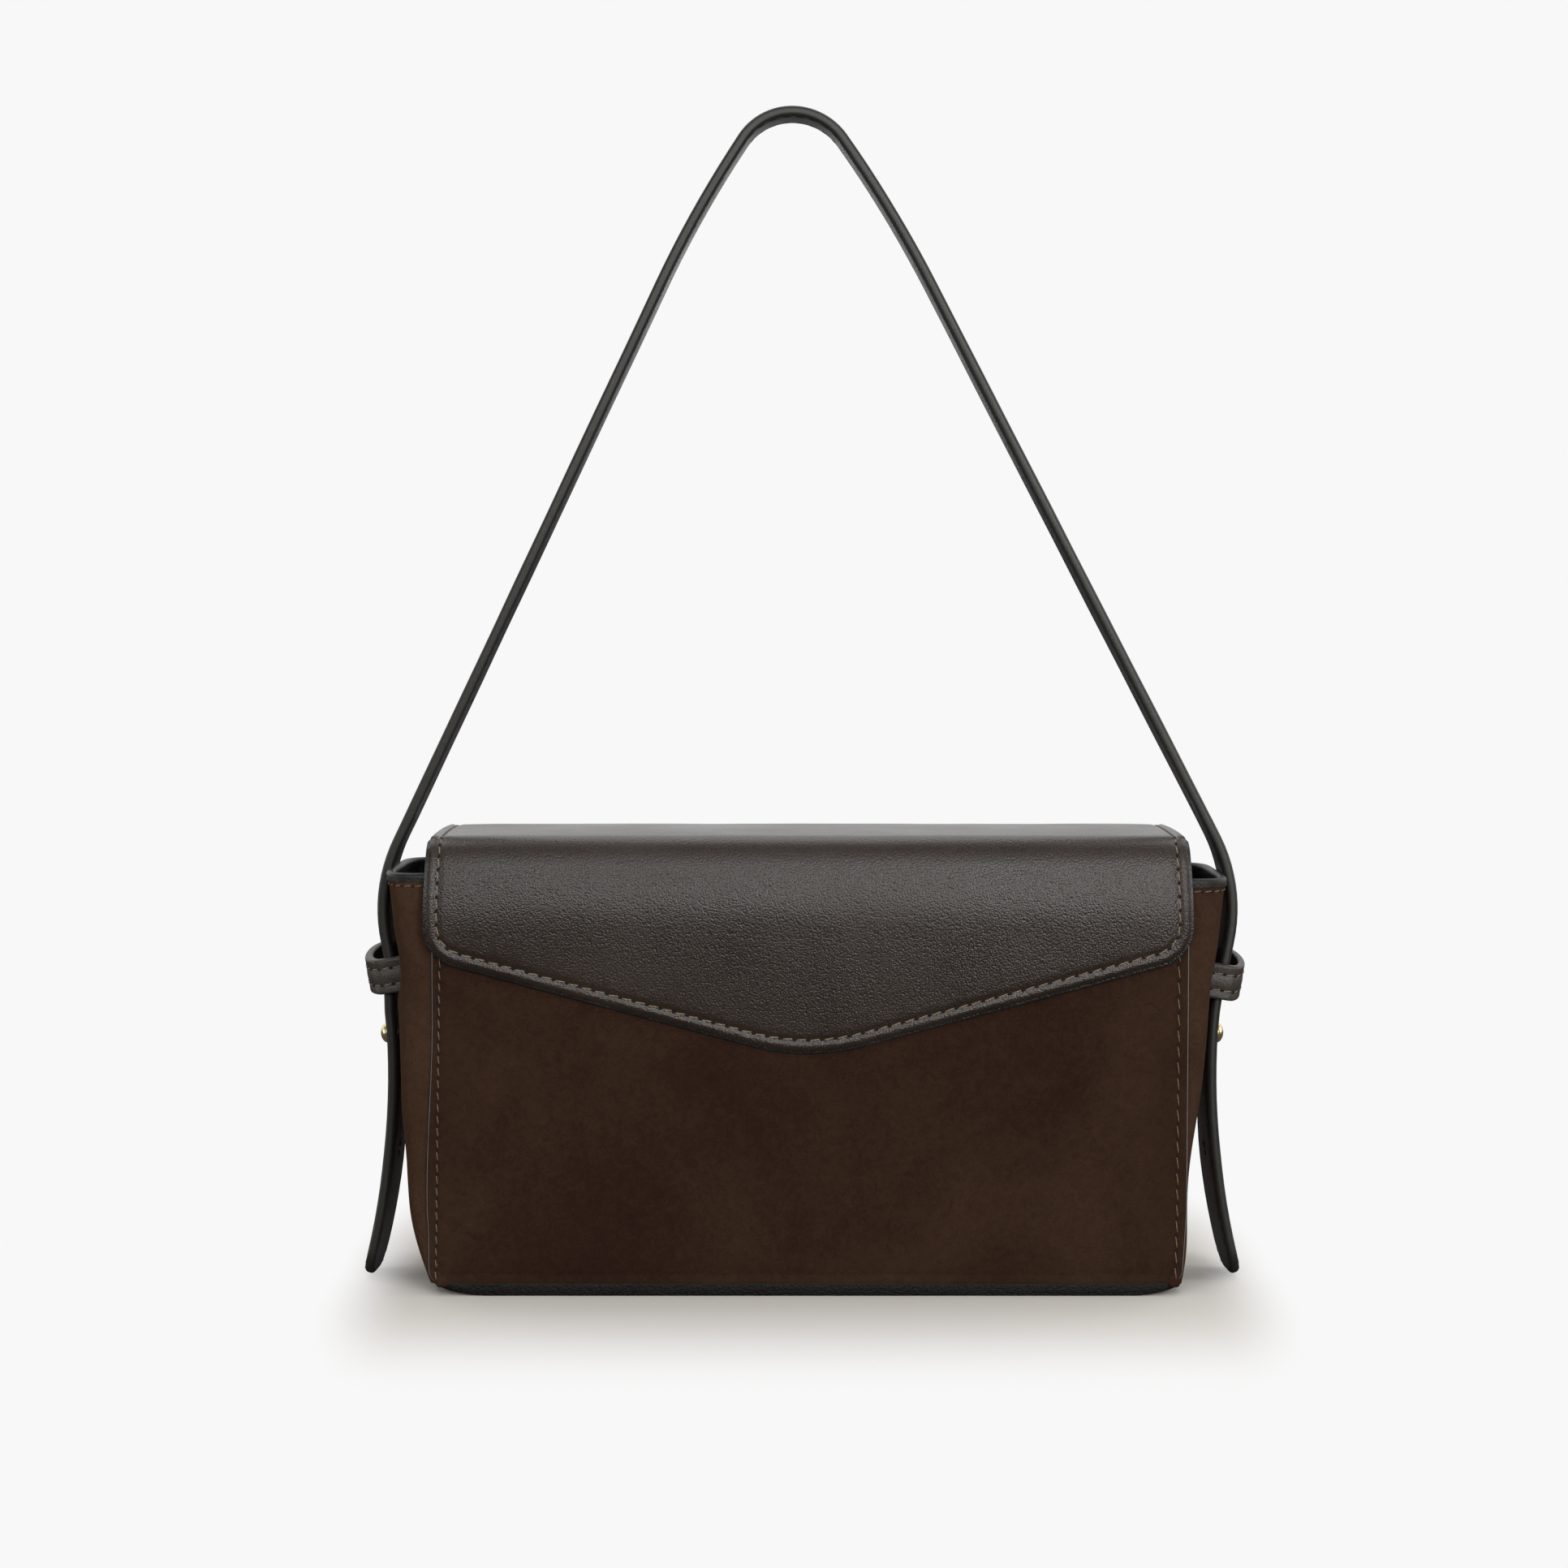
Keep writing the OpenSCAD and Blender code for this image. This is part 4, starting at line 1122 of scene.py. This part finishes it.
magnet_z = 94
deselect_everything()
bpy.ops.mesh.primitive_cylinder_add(vertices=48, radius=7.9 * MM, depth=0.5 * MM)
disc = bpy.context.object
disc.name = "flap_magnet_disc"
rub = disc.modifiers.new("rubbed_edge", "BEVEL")
rub.width = 0.15 * MM
bpy.ops.object.modifier_apply(modifier=rub.name)
disc.data.materials.append(nickel)
fold(disc, lambda u, v, h: on_flap(u, (bend_end + rim_z - magnet_z) * MM + v, h - 0.3 * MM))
hand_over(disc, "flap", "magnet", "flap_magnet", flip=True)


def flap_seam_path():
    """From the hinge down the right side, along both slopes and up the left side."""
    inner = flap_outline(-flap_seam)
    inner = inner[1:] + inner[:1]
    path = []
    for (x0, y0), (x1, y1) in zip(inner, inner[1:]):
        pieces = max(1, round(math.hypot(x1 - x0, y1 - y0) / (1.5 * MM)))
        for i in range(pieces):
            path.append((x0 + (x1 - x0) * i / pieces, y0 + (y1 - y0) * i / pieces))
    rows = []
    for u, v in path:
        if v > 7 * MM:
            heading = math.radians(along(flap_runs, v / MM, flap_start)[2])
            out = Vector((0, -math.sin(heading), math.cos(heading)))
            rows.append((Vector(on_flap_face(u, v, flap_ply * MM)), out))
    return rows


sew("flap_seam_thread", flap_seam_path(), flap_thread, "flap", 4.35, 0.54, 7)

# %% [markdown]
# On the back, a strip of the same leather is sewn to the suede, and the flap folds out of it.

# %% Flap back strip
strip_top = hinge_level - flap_ply - 0.9
strip_low = strip_top - 24
strip_outline = pattern(box(flap_w / 2, strip_low, strip_top), [4, 4, 0, 0])
strip_cuts = cuts_of(strip_outline)
back_strip = cut_flat("flap_back_strip_leather", strip_outline, [0.7, 1.0, 1.0, 0.7],
                      spread(-flap_w / 2, flap_w / 2, 5), spread(strip_low, strip_top, 4))
thicken(back_strip, flap_ply, 0.4, 3)
dress(back_strip, flap_leather, edge_paint)


def on_back_strip(u, v, h):
    """The strip is skived to four fifths of its thickness, and half as full as the flap."""
    lift = flap_relief(strip_cuts, u, v) * h / (2 * flap_ply * MM)
    return -u, body_d / 2 * MM + 0.4 * MM + h * 0.8 + lift, v


fold(back_strip, on_back_strip)
hand_over(back_strip, "bag_body", "flap_leather", "flap_back_strip")
row_hw, row_top, row_low = 117, strip_top - 1, strip_low + 3.4
strip_row_y = body_d / 2 + 0.4 + flap_ply * 0.8 - 0.1
strip_seam = rounded([(-row_hw, row_top), (-row_hw, row_low), (row_hw, row_low),
                      (row_hw, row_top)], [0, 2, 2, 0])
strip_path = [(Vector((-x * MM, strip_row_y * MM, y * MM)), Vector((0, 1, 0)))
              for x, y in strip_seam]
sew("flap_back_strip_thread", strip_path, flap_thread, "bag_body", 4.3, 0.6, 6)

# %% [markdown]
# The strap is one flat strip of doubled leather with painted edges. It stands up by its own
# stiffness: a tight crown, straight legs, and a bow at the rim. Above the keeper one piece
# runs over the crown, and below it two pieces make the tails.

# %% Strap route
strap_w, strap_t = 25.0, 3.3
crown_run, shoulder_run, bow_run, tail_run = (18.6, 55.3), (53.8, 8.2), (34.3, 37.9), (108.6, -26.6)
bow_z, stand_off, keeper_drop, stud_drop, hole_pitch = 110.4, 4.0, 9.2, 31.2, 38
swing_z, strap_lean = 146.5, 5.0


def across(run, heading):
    """How far a stretch of the strap carries it outwards."""
    length, turn = run
    radius = length / math.radians(turn)
    return radius * (math.sin(math.radians(heading + turn)) - math.sin(math.radians(heading)))


leg_turn = crown_run[1] + shoulder_run[1]
bow_x = gusset_x(bow_z) + stand_off + strap_t / 2
leg_len = (bow_x - across(crown_run, 0) - across(shoulder_run, crown_run[1])
           - across(bow_run, leg_turn)) / math.cos(math.radians(leg_turn))
strap_runs = [crown_run, shoulder_run, (leg_len, 0), bow_run, tail_run]
bow_s = sum(length for length, _ in strap_runs[:4])
crown_z = bow_z - along(strap_runs, bow_s, (0, 0, 0))[1]
stud_s, keeper_s, tail_s = bow_s + stud_drop, bow_s + keeper_drop, bow_s + tail_run[0]
print("crown at", round(crown_z, 2), "half length", round(tail_s, 1))


def strap_at(s):
    return along(strap_runs, s, (0, crown_z, 0))


def on_strap(w, s, h):
    """w across the strap, s along it from the crown (left is negative), h outwards."""
    side = 1 if s >= 0 else -1
    p = strap_at(abs(s) / MM)
    x, z = beside(p, h / MM)
    x = side * x - strap_lean * max(0, (z - swing_z) / (crown_z - swing_z))
    return x * MM, w, z * MM


def strap_stops(low, high):
    """Bending lines along the strap, closer together where it curves."""
    marks, total = set(), 0.0
    for length, turn in strap_runs:
        count = max(1, math.ceil(max(abs(turn) / 3.5, length / 6)))
        marks |= {round(total + length * i / count, 3) for i in range(count + 1)}
        total += length
    marks |= {-m for m in marks}
    return sorted(m * MM for m in marks if low + 0.8 < m < high - 0.8)


strap_seam = 2.4


def strap_relief(w, s):
    """The strap's faces dip at the seam and crown a little between the seams."""
    edge = strap_w / 2 - abs(w / MM)
    seam = -0.2 * math.exp(-((edge - strap_seam) / 0.6) ** 2)
    crown = 0.12 * (1 - (w / MM / (strap_w / 2)) ** 2)
    wave = 0.1 * softness(w, s, 0, 0.03, 6)
    return (seam + crown + wave - 0.06) * MM


def punch_keyholes(piece, marks):
    """Punches round holes with a slit towards the crown into the flat strip."""
    for s, crownwards in marks:
        bpy.ops.mesh.primitive_cylinder_add(vertices=24, radius=2.5 * MM, depth=12 * MM,
                                            location=(0, s * MM, 0))
        punch = bpy.context.object
        bpy.ops.mesh.primitive_cube_add(size=1, location=(0, (s + 3.75 * crownwards) * MM, 0),
                                        scale=(0.8 * MM, 7.5 * MM, 12 * MM))
        knife = bpy.context.object
        for tool in (punch, knife):
            pick(piece)
            cut = piece.modifiers.new("keyhole", "BOOLEAN")
            cut.operation = "DIFFERENCE"
            cut.object = tool
            bpy.ops.object.modifier_apply(modifier=cut.name)
            bpy.data.objects.remove(tool)
    return piece


# %% [markdown]
# Strips are cut flat with w across and s along, so a tail's rounded tip is just its outline.
# Only one strip is needed for the arch: it runs from inside one keeper, over the crown, to the
# other keeper.

# %% Strap pieces
def make_strip(name, low, high, marks, tip_radius=0.0, edge_round=1.1):
    outline = pattern(box(strap_w / 2, low, high), [0, 0, tip_radius, tip_radius])
    # more bending lines lie close to the seams, where the leather dips
    near_seam = (9.4, 10.1, 10.8)
    columns = [w * MM for w in (*[-w for w in near_seam[::-1]], -6, 0, 6, *near_seam)]
    piece = cut_flat(name, outline, [1.7], columns, strap_stops(low, high))
    thicken(piece, strap_t, edge_round, 5, clamp=False)
    punch_keyholes(piece, marks)
    dress(piece, strap_leather, strap_edge_paint, strap_back_painted_reflection)
    return piece


def hang(x, z):
    """How far a tail hangs to the left of its even place: more on the left than on the right."""
    return (2.5 if x < 0 else 0.9) * MM * ease(-z / MM, -106, -88)


def twisted(point, s):
    """Each tail hangs to the left, with its front edge turned outwards by about four degrees."""
    x, y, z = point
    turned = 0.07 * max(0, min(1, (abs(s) / MM - stud_s) / 40))
    return x - math.copysign(turned, x) * y - hang(x, z), y, z


def strap_place(sign):
    def place(u, v, h):
        middle = h - strap_t / 2 * MM
        face = strap_relief(u, v) * (1 if middle > 0 else -1) * min(1, abs(middle) / (1.2 * MM))
        return twisted(on_strap(u, sign * v, middle + face), v)
    return place


arch_holes = [(side * (stud_s - k * hole_pitch), -side) for k in (2, 3) for side in (-1, 1)]
strap_arch = make_strip("strap_arch", -keeper_s, keeper_s, arch_holes)
fold(strap_arch, strap_place(1))
hand_over(strap_arch, None, "strap_leather", "strap", flip=True)

strap_tails = {}
for side, word in SIDES:
    tail = make_strip(f"{word}_strap_tail", keeper_s + 0.2, tail_s + 1.8,
                      [(stud_s, -1), (stud_s + hole_pitch, -1)], 9.0, 1.35)
    fold(tail, strap_place(side))
    hand_over(tail, None, "strap_leather", f"{word}_strap_end", f"{word}_tail", flip=side > 0)
    strap_tails[side] = tail

# %% [markdown]
# Two rows of thread run near the strap's edges, on its outer face and on its inner face.

# %% Strap seams
def strap_row(low, high, w, sign, face):
    """A seam's path along the strap. The face is 1 outside and -1 inside."""
    rows = []
    for s in [low] + [m / MM for m in strap_stops(low, high)] + [high]:
        p = strap_at(abs(s))
        heading = math.radians(p[2])
        side = 1 if sign * s >= 0 else -1
        out = Vector((side * math.sin(heading), 0, math.cos(heading))) * face
        point = on_strap(w * MM, sign * s * MM, face * (strap_t / 2 - 0.16) * MM)
        rows.append((Vector(twisted(point, s * MM)), out))
    return rows


def sew_strap(name, path):
    return sew(name, path, black_thread, None, 4.3, 0.4, 4, lift=0, holes=False)


arch_threads, tail_threads = [], {-1: [], 1: []}
seam_w = strap_w / 2 - strap_seam
for face, word in ((1, "outer"), (-1, "inner")):
    for w, edge in ((-seam_w, "front"), (seam_w, "back")):
        path = strap_row(-keeper_s, keeper_s, w, 1, face)
        arch_threads.append(sew_strap(f"strap_{word}_{edge}_thread", path))
        for side, hand in SIDES:
            path = strap_row(keeper_s, tail_s - 8, w, side, face)
            tail_threads[side].append(sew_strap(f"{hand}_tail_{word}_{edge}_thread", path))

for piece in [strap_arch] + arch_threads:
    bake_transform(piece)
flex_z = strap_at(stud_s + 7.5)[1] * MM
for side, word in SIDES:
    for piece in [strap_tails[side]] + tail_threads[side]:
        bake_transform(piece)

# %% [markdown]
# A keeper is a short band of the same leather. It comes out of a slit in the gusset in front of
# the strap, runs round it and goes back in behind, and it is stitched near both edges.

# %% Keepers
keeper_h, keeper_t, keeper_room, keeper_seam = 11.4, 2.4, 3.0, 2.6
keeper_y = strap_w / 2 + 0.3 + keeper_t / 2
keeper_x = strap_t / 2 + keeper_room + keeper_t / 2
keeper_p = strap_at(keeper_s)
keeper_back = keeper_p[0] - gusset_x(keeper_p[1]) + gusset_t
nose = strap_t / 2


def keeper_line(count=24):
    """The band's middle seen from above: a straight leg, an oval nose and the other leg."""
    line = [(-keeper_back, -keeper_y), ((nose - keeper_back) / 2, -keeper_y)]
    for i in range(count + 1):
        a = math.pi * (i / count - 0.5)
        line.append((nose + (keeper_x - nose) * math.cos(a), keeper_y * math.sin(a)))
    return line + [((nose - keeper_back) / 2, keeper_y), (-keeper_back, keeper_y)]


keeper_points = keeper_line()
keeper_marks = [0.0]
for (x0, y0), (x1, y1) in zip(keeper_points, keeper_points[1:]):
    keeper_marks.append(keeper_marks[-1] + math.hypot(x1 - x0, y1 - y0))
keeper_length = keeper_marks[-1]


def keeper_normal(i):
    x0, y0 = keeper_points[max(0, i - 1)]
    x1, y1 = keeper_points[min(len(keeper_points) - 1, i + 1)]
    return Vector((y1 - y0, x0 - x1)).normalized()


def on_keeper(side, s, up, out):
    """s runs round the band from the front slit to the back one, up along it, out of it."""
    i = max(1, min(len(keeper_marks) - 1, sum(mark < s - 1e-6 for mark in keeper_marks)))
    (x0, y0), (x1, y1) = keeper_points[i - 1], keeper_points[i]
    t = (s - keeper_marks[i - 1]) / (keeper_marks[i] - keeper_marks[i - 1])
    # the outward direction turns evenly from one point of the line to the next
    n = keeper_normal(i - 1).lerp(keeper_normal(i), t).normalized()
    x, y = x0 + (x1 - x0) * t + n.x * out, y0 + (y1 - y0) * t + n.y * out
    tilt = math.radians(keeper_p[2] - 90)
    # the left band reaches further out, the right one sits lower, and both dip to the front
    if side < 0:
        x += 1.7 * max(0, min(1, x / keeper_x))
    wx = keeper_p[0] + x * math.cos(tilt) + up * math.sin(tilt)
    wz = keeper_p[1] - x * math.sin(tilt) + up * math.cos(tilt) + 0.1 * y - 1.1 - 1.1 * side
    normal = Vector((n.x * math.cos(tilt) * side, n.y, -n.x * math.sin(tilt)))
    return Vector((side * wx * MM, y * MM, wz * MM)), normal


def make_keeper(side, word):
    half = keeper_h / 2
    corners = [(0, -half), (keeper_length, -half), (keeper_length, half), (0, half)]
    piece = cut_flat(f"{word}_keeper_band", pattern(corners, [0, 0, 0, 0]), [0.8],
                     [mark * MM for mark in keeper_marks[1:-1]],
                     [v * MM for v in (-3.2, -keeper_seam, -2.0, 0, 2.0, keeper_seam, 3.2)])
    thicken(piece, keeper_t, 0.8, 4)
    dress(piece, keeper_leather, keeper_leather, strap_edge_paint)

    def place(u, v, h):
        dip = -0.24 * math.exp(-((abs(v / MM) - keeper_seam) / 0.5) ** 2)
        full = 0.12 * math.exp(-(v / MM / 2) ** 2)
        out = h / MM - keeper_t / 2 + (dip + full) * h / (keeper_t * MM)
        return on_keeper(side, u / MM, v / MM, out)[0]

    fold(piece, place)
    hand_over(piece, "bag_body", "strap_leather", f"{word}_keeper", angle=60, flip=side < 0)
    for v, row in ((-keeper_seam, "lower"), (keeper_seam, "upper")):
        path = [on_keeper(side, 1.5 + (keeper_length - 3) * i / 90, v, keeper_t / 2 - 0.14)
                for i in range(91)]
        sew(f"{word}_keeper_{row}_thread", path, flap_thread, "bag_body",
            3.8, 0.45, 8)


for side, word in SIDES:
    make_keeper(side, word)

# %% [markdown]
# The studs are turned from brass and plated light gold: a foot, a neck and a domed head.
# A profile is drawn point by point with extrude, and spun round its axis.

# %% Studs
def spun(name, profile):
    """A turned piece from a profile of (radius, height) pairs, about +Z."""
    deselect_everything()
    bpy.ops.mesh.primitive_plane_add(size=1)
    piece = bpy.context.object
    piece.name = name
    bpy.ops.object.mode_set(mode="EDIT")
    bpy.ops.mesh.select_all(action="SELECT")
    bpy.ops.mesh.merge(type="CENTER")
    bpy.ops.transform.translate(value=(profile[0][0], 0, profile[0][1]))
    for (r0, z0), (r1, z1) in zip(profile, profile[1:]):
        bpy.ops.mesh.extrude_region_move(TRANSFORM_OT_translate={"value": (r1 - r0, 0, z1 - z0)})
    bpy.ops.mesh.select_all(action="SELECT")
    bpy.ops.mesh.spin(steps=40, angle=2 * math.pi, center=(0, 0, 0), axis=(0, 0, 1))
    bpy.ops.mesh.select_all(action="SELECT")
    bpy.ops.mesh.remove_doubles(threshold=1e-6)
    bpy.ops.mesh.normals_make_consistent(inside=False)
    bpy.ops.object.mode_set(mode="OBJECT")
    return piece


stud_p = strap_at(stud_s)
stud_seat = gusset_x(stud_p[1]) - stud_p[0] + 0.3
head_r, neck_r, foot_r = 3.4, 2, 4
head, foot = strap_t / 2 + 0.15, -strap_t / 2 - 0.3
profile = [(0, stud_seat), (foot_r - 0.3, stud_seat), (foot_r, stud_seat + 0.3),
           (foot_r, foot - 0.3), (foot_r - 0.3, foot), (neck_r, foot), (neck_r, head),
           (head_r - 0.5, head), (head_r - 0.12, head + 0.15)]
profile += [(head_r * math.cos(math.radians(a)), head + 0.6 + 2.3 * math.sin(math.radians(a)))
            for a in range(0, 91, 9)]
for side, word in SIDES:
    stud = spun(f"{word}_gold_stud", [(max(0, x) * MM, z * MM) for x, z in profile])
    lay = Matrix.Rotation(math.radians(90) * side, 4, "Y")
    seat = Vector((side * stud_p[0] * MM - hang(side, stud_p[1] * MM), 0, stud_p[1] * MM))
    stud.data.transform(Matrix.Translation(seat) @ lay)
    stud.data.materials.append(light_gold)
    hand_over(stud, "bag_body", "gold", f"{word}_stud")

# %% [markdown]
# What stays hidden or plain keeps its construction shape and only gets its real finish.

# %% Finishes of the nodes that stay
for name, finish in {"front_board": board_grey, "back_board": board_grey, "base_board": board_grey,
                     "front_magnet": nickel, "left_stud_screw": zinc_steel,
                     "right_stud_screw": zinc_steel}.items():
    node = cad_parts[name]
    node.data.materials.clear()
    node.data.materials.append(finish)
    for polygon in node.data.polygons:
        polygon.material_index = 0
print("kept nodes finished")

# %% [markdown]
# The bag stands on a pale floor that runs out to a plain white background. Near the bag the
# floor is lit as usual and holds its soft shadow, and further out the camera sees plain white.

# %% Floor and world
deselect_everything()
bpy.ops.mesh.primitive_plane_add(size=12)
floor = bpy.context.object
floor.name = "studio_floor"
finish, tree, place = new_finish("studio_floor_white")
camera_ray = add(tree, "ShaderNodeLightPath").outputs["Is Camera Ray"]
shade = mixed(tree, camera_ray, paint("#5c5a58"), paint("#f2ede6"))
diffuse = add(tree, "ShaderNodeBsdfDiffuse", {"Color": shade})
glow = add(tree, "ShaderNodeEmission", {"Color": paint("#f8f8f8"), "Strength": 1.0})
# the distance outside the bag's foot, along each axis, as a share of where the fading ends
distance = place
for operation, value in (("ABSOLUTE", None), ("SUBTRACT", (0.122, 0.035, 0)),
                         ("MAXIMUM", (0, 0, 0)), ("MULTIPLY", (1 / 0.034, 1 / 0.13, 0))):
    given = {0: distance} if value is None else {0: distance, 1: value}
    distance = add(tree, "ShaderNodeVectorMath", given, operation=operation).outputs[0]
far = add(tree, "ShaderNodeVectorMath", {0: distance}, operation="LENGTH").outputs["Value"]
fade = ranged(tree, far, 0, 1, 0.1, 1.0, interpolation_type="SMOOTHSTEP")
mask = reckoned(tree, "MULTIPLY", fade, camera_ray)
both = add(tree, "ShaderNodeMixShader", {0: mask, 1: diffuse.outputs[0], 2: glow.outputs[0]})
add(tree, "ShaderNodeOutputMaterial", {"Surface": both.outputs[0]})
floor.data.materials.append(finish)

world = bpy.data.worlds.new("studio")
bpy.context.scene.world = world
world.use_nodes = True
tree = world.node_tree
tree.nodes.clear()
rays = add(tree, "ShaderNodeLightPath").outputs
soft = add(tree, "ShaderNodeBackground", {"Color": paint("#f8f8f8"), "Strength": 0.23})
plain = add(tree, "ShaderNodeBackground", {"Color": paint("#f8f8f8"), "Strength": 1.0})
# the backdrop stands behind the bag: reflections see it there, and the dim room in front
way = add(tree, "ShaderNodeTexCoord").outputs["Generated"]
depth = add(tree, "ShaderNodeSeparateXYZ", {0: way}).outputs["Y"]
behind = ranged(tree, depth, 0, 1, -0.1, 0.5, interpolation_type="SMOOTHSTEP")
shiny = reckoned(tree, "MULTIPLY", rays["Is Glossy Ray"], behind)
direct = reckoned(tree, "MAXIMUM", rays["Is Camera Ray"], rays["Is Transmission Ray"])
seen = reckoned(tree, "MAXIMUM", direct, shiny)
backdrop = add(tree, "ShaderNodeMixShader", {0: seen, 1: soft.outputs[0], 2: plain.outputs[0]})
add(tree, "ShaderNodeOutputWorld", {"Surface": backdrop.outputs[0]})
print("floor and world made")

# %% [markdown]
# Six soft boxes light the bag, as in a catalogue picture. A large one overhead and a little
# behind gives the bright line on the flap's top. Three stand in front: a high one and a long one
# light the flap and the suede, and a narrow one low on the right adds to them. One on each side
# draws a soft edge on the gussets, the strap and the keepers.

# %% Lights
def soft_box(name, location, target, size, power):
    data = bpy.data.lights.new(name, "AREA")
    data.shape = "RECTANGLE"
    data.size, data.size_y = size
    data.energy = power
    light = bpy.data.objects.new(name, data)
    bpy.context.scene.collection.objects.link(light)
    light.location = location
    light.rotation_euler = (Vector(target) - Vector(location)).to_track_quat("-Z", "Y").to_euler()
    return light


soft_box("overhead_box", (0, 0.5, 1.6), (0, 0, 0.1), (2.4, 1.6), 13)
soft_box("upper_front_box", (0.1, -1.15, 1.25), (0, 0, 0.12), (2.0, 0.5), 4)
soft_box("top_front_box", (0.1, -1.5, 0.6), (0, 0, 0.12), (1.9, 0.42), 11)
soft_box("right_box", (0.5, -1.3, 0.25), (0.05, 0, 0.1), (0.34, 0.7), 4)
soft_box("left_rim_box", (-1.2, -0.25, 0.2), (0, 0, 0.06), (0.5, 0.5), 2.2)
soft_box("right_rim_box", (1.2, -0.1, 0.45), (0, 0, 0.1), (0.5, 0.8), 3)
bpy.context.scene.view_settings.view_transform = "Standard"
print("lights:", len(bpy.data.lights))
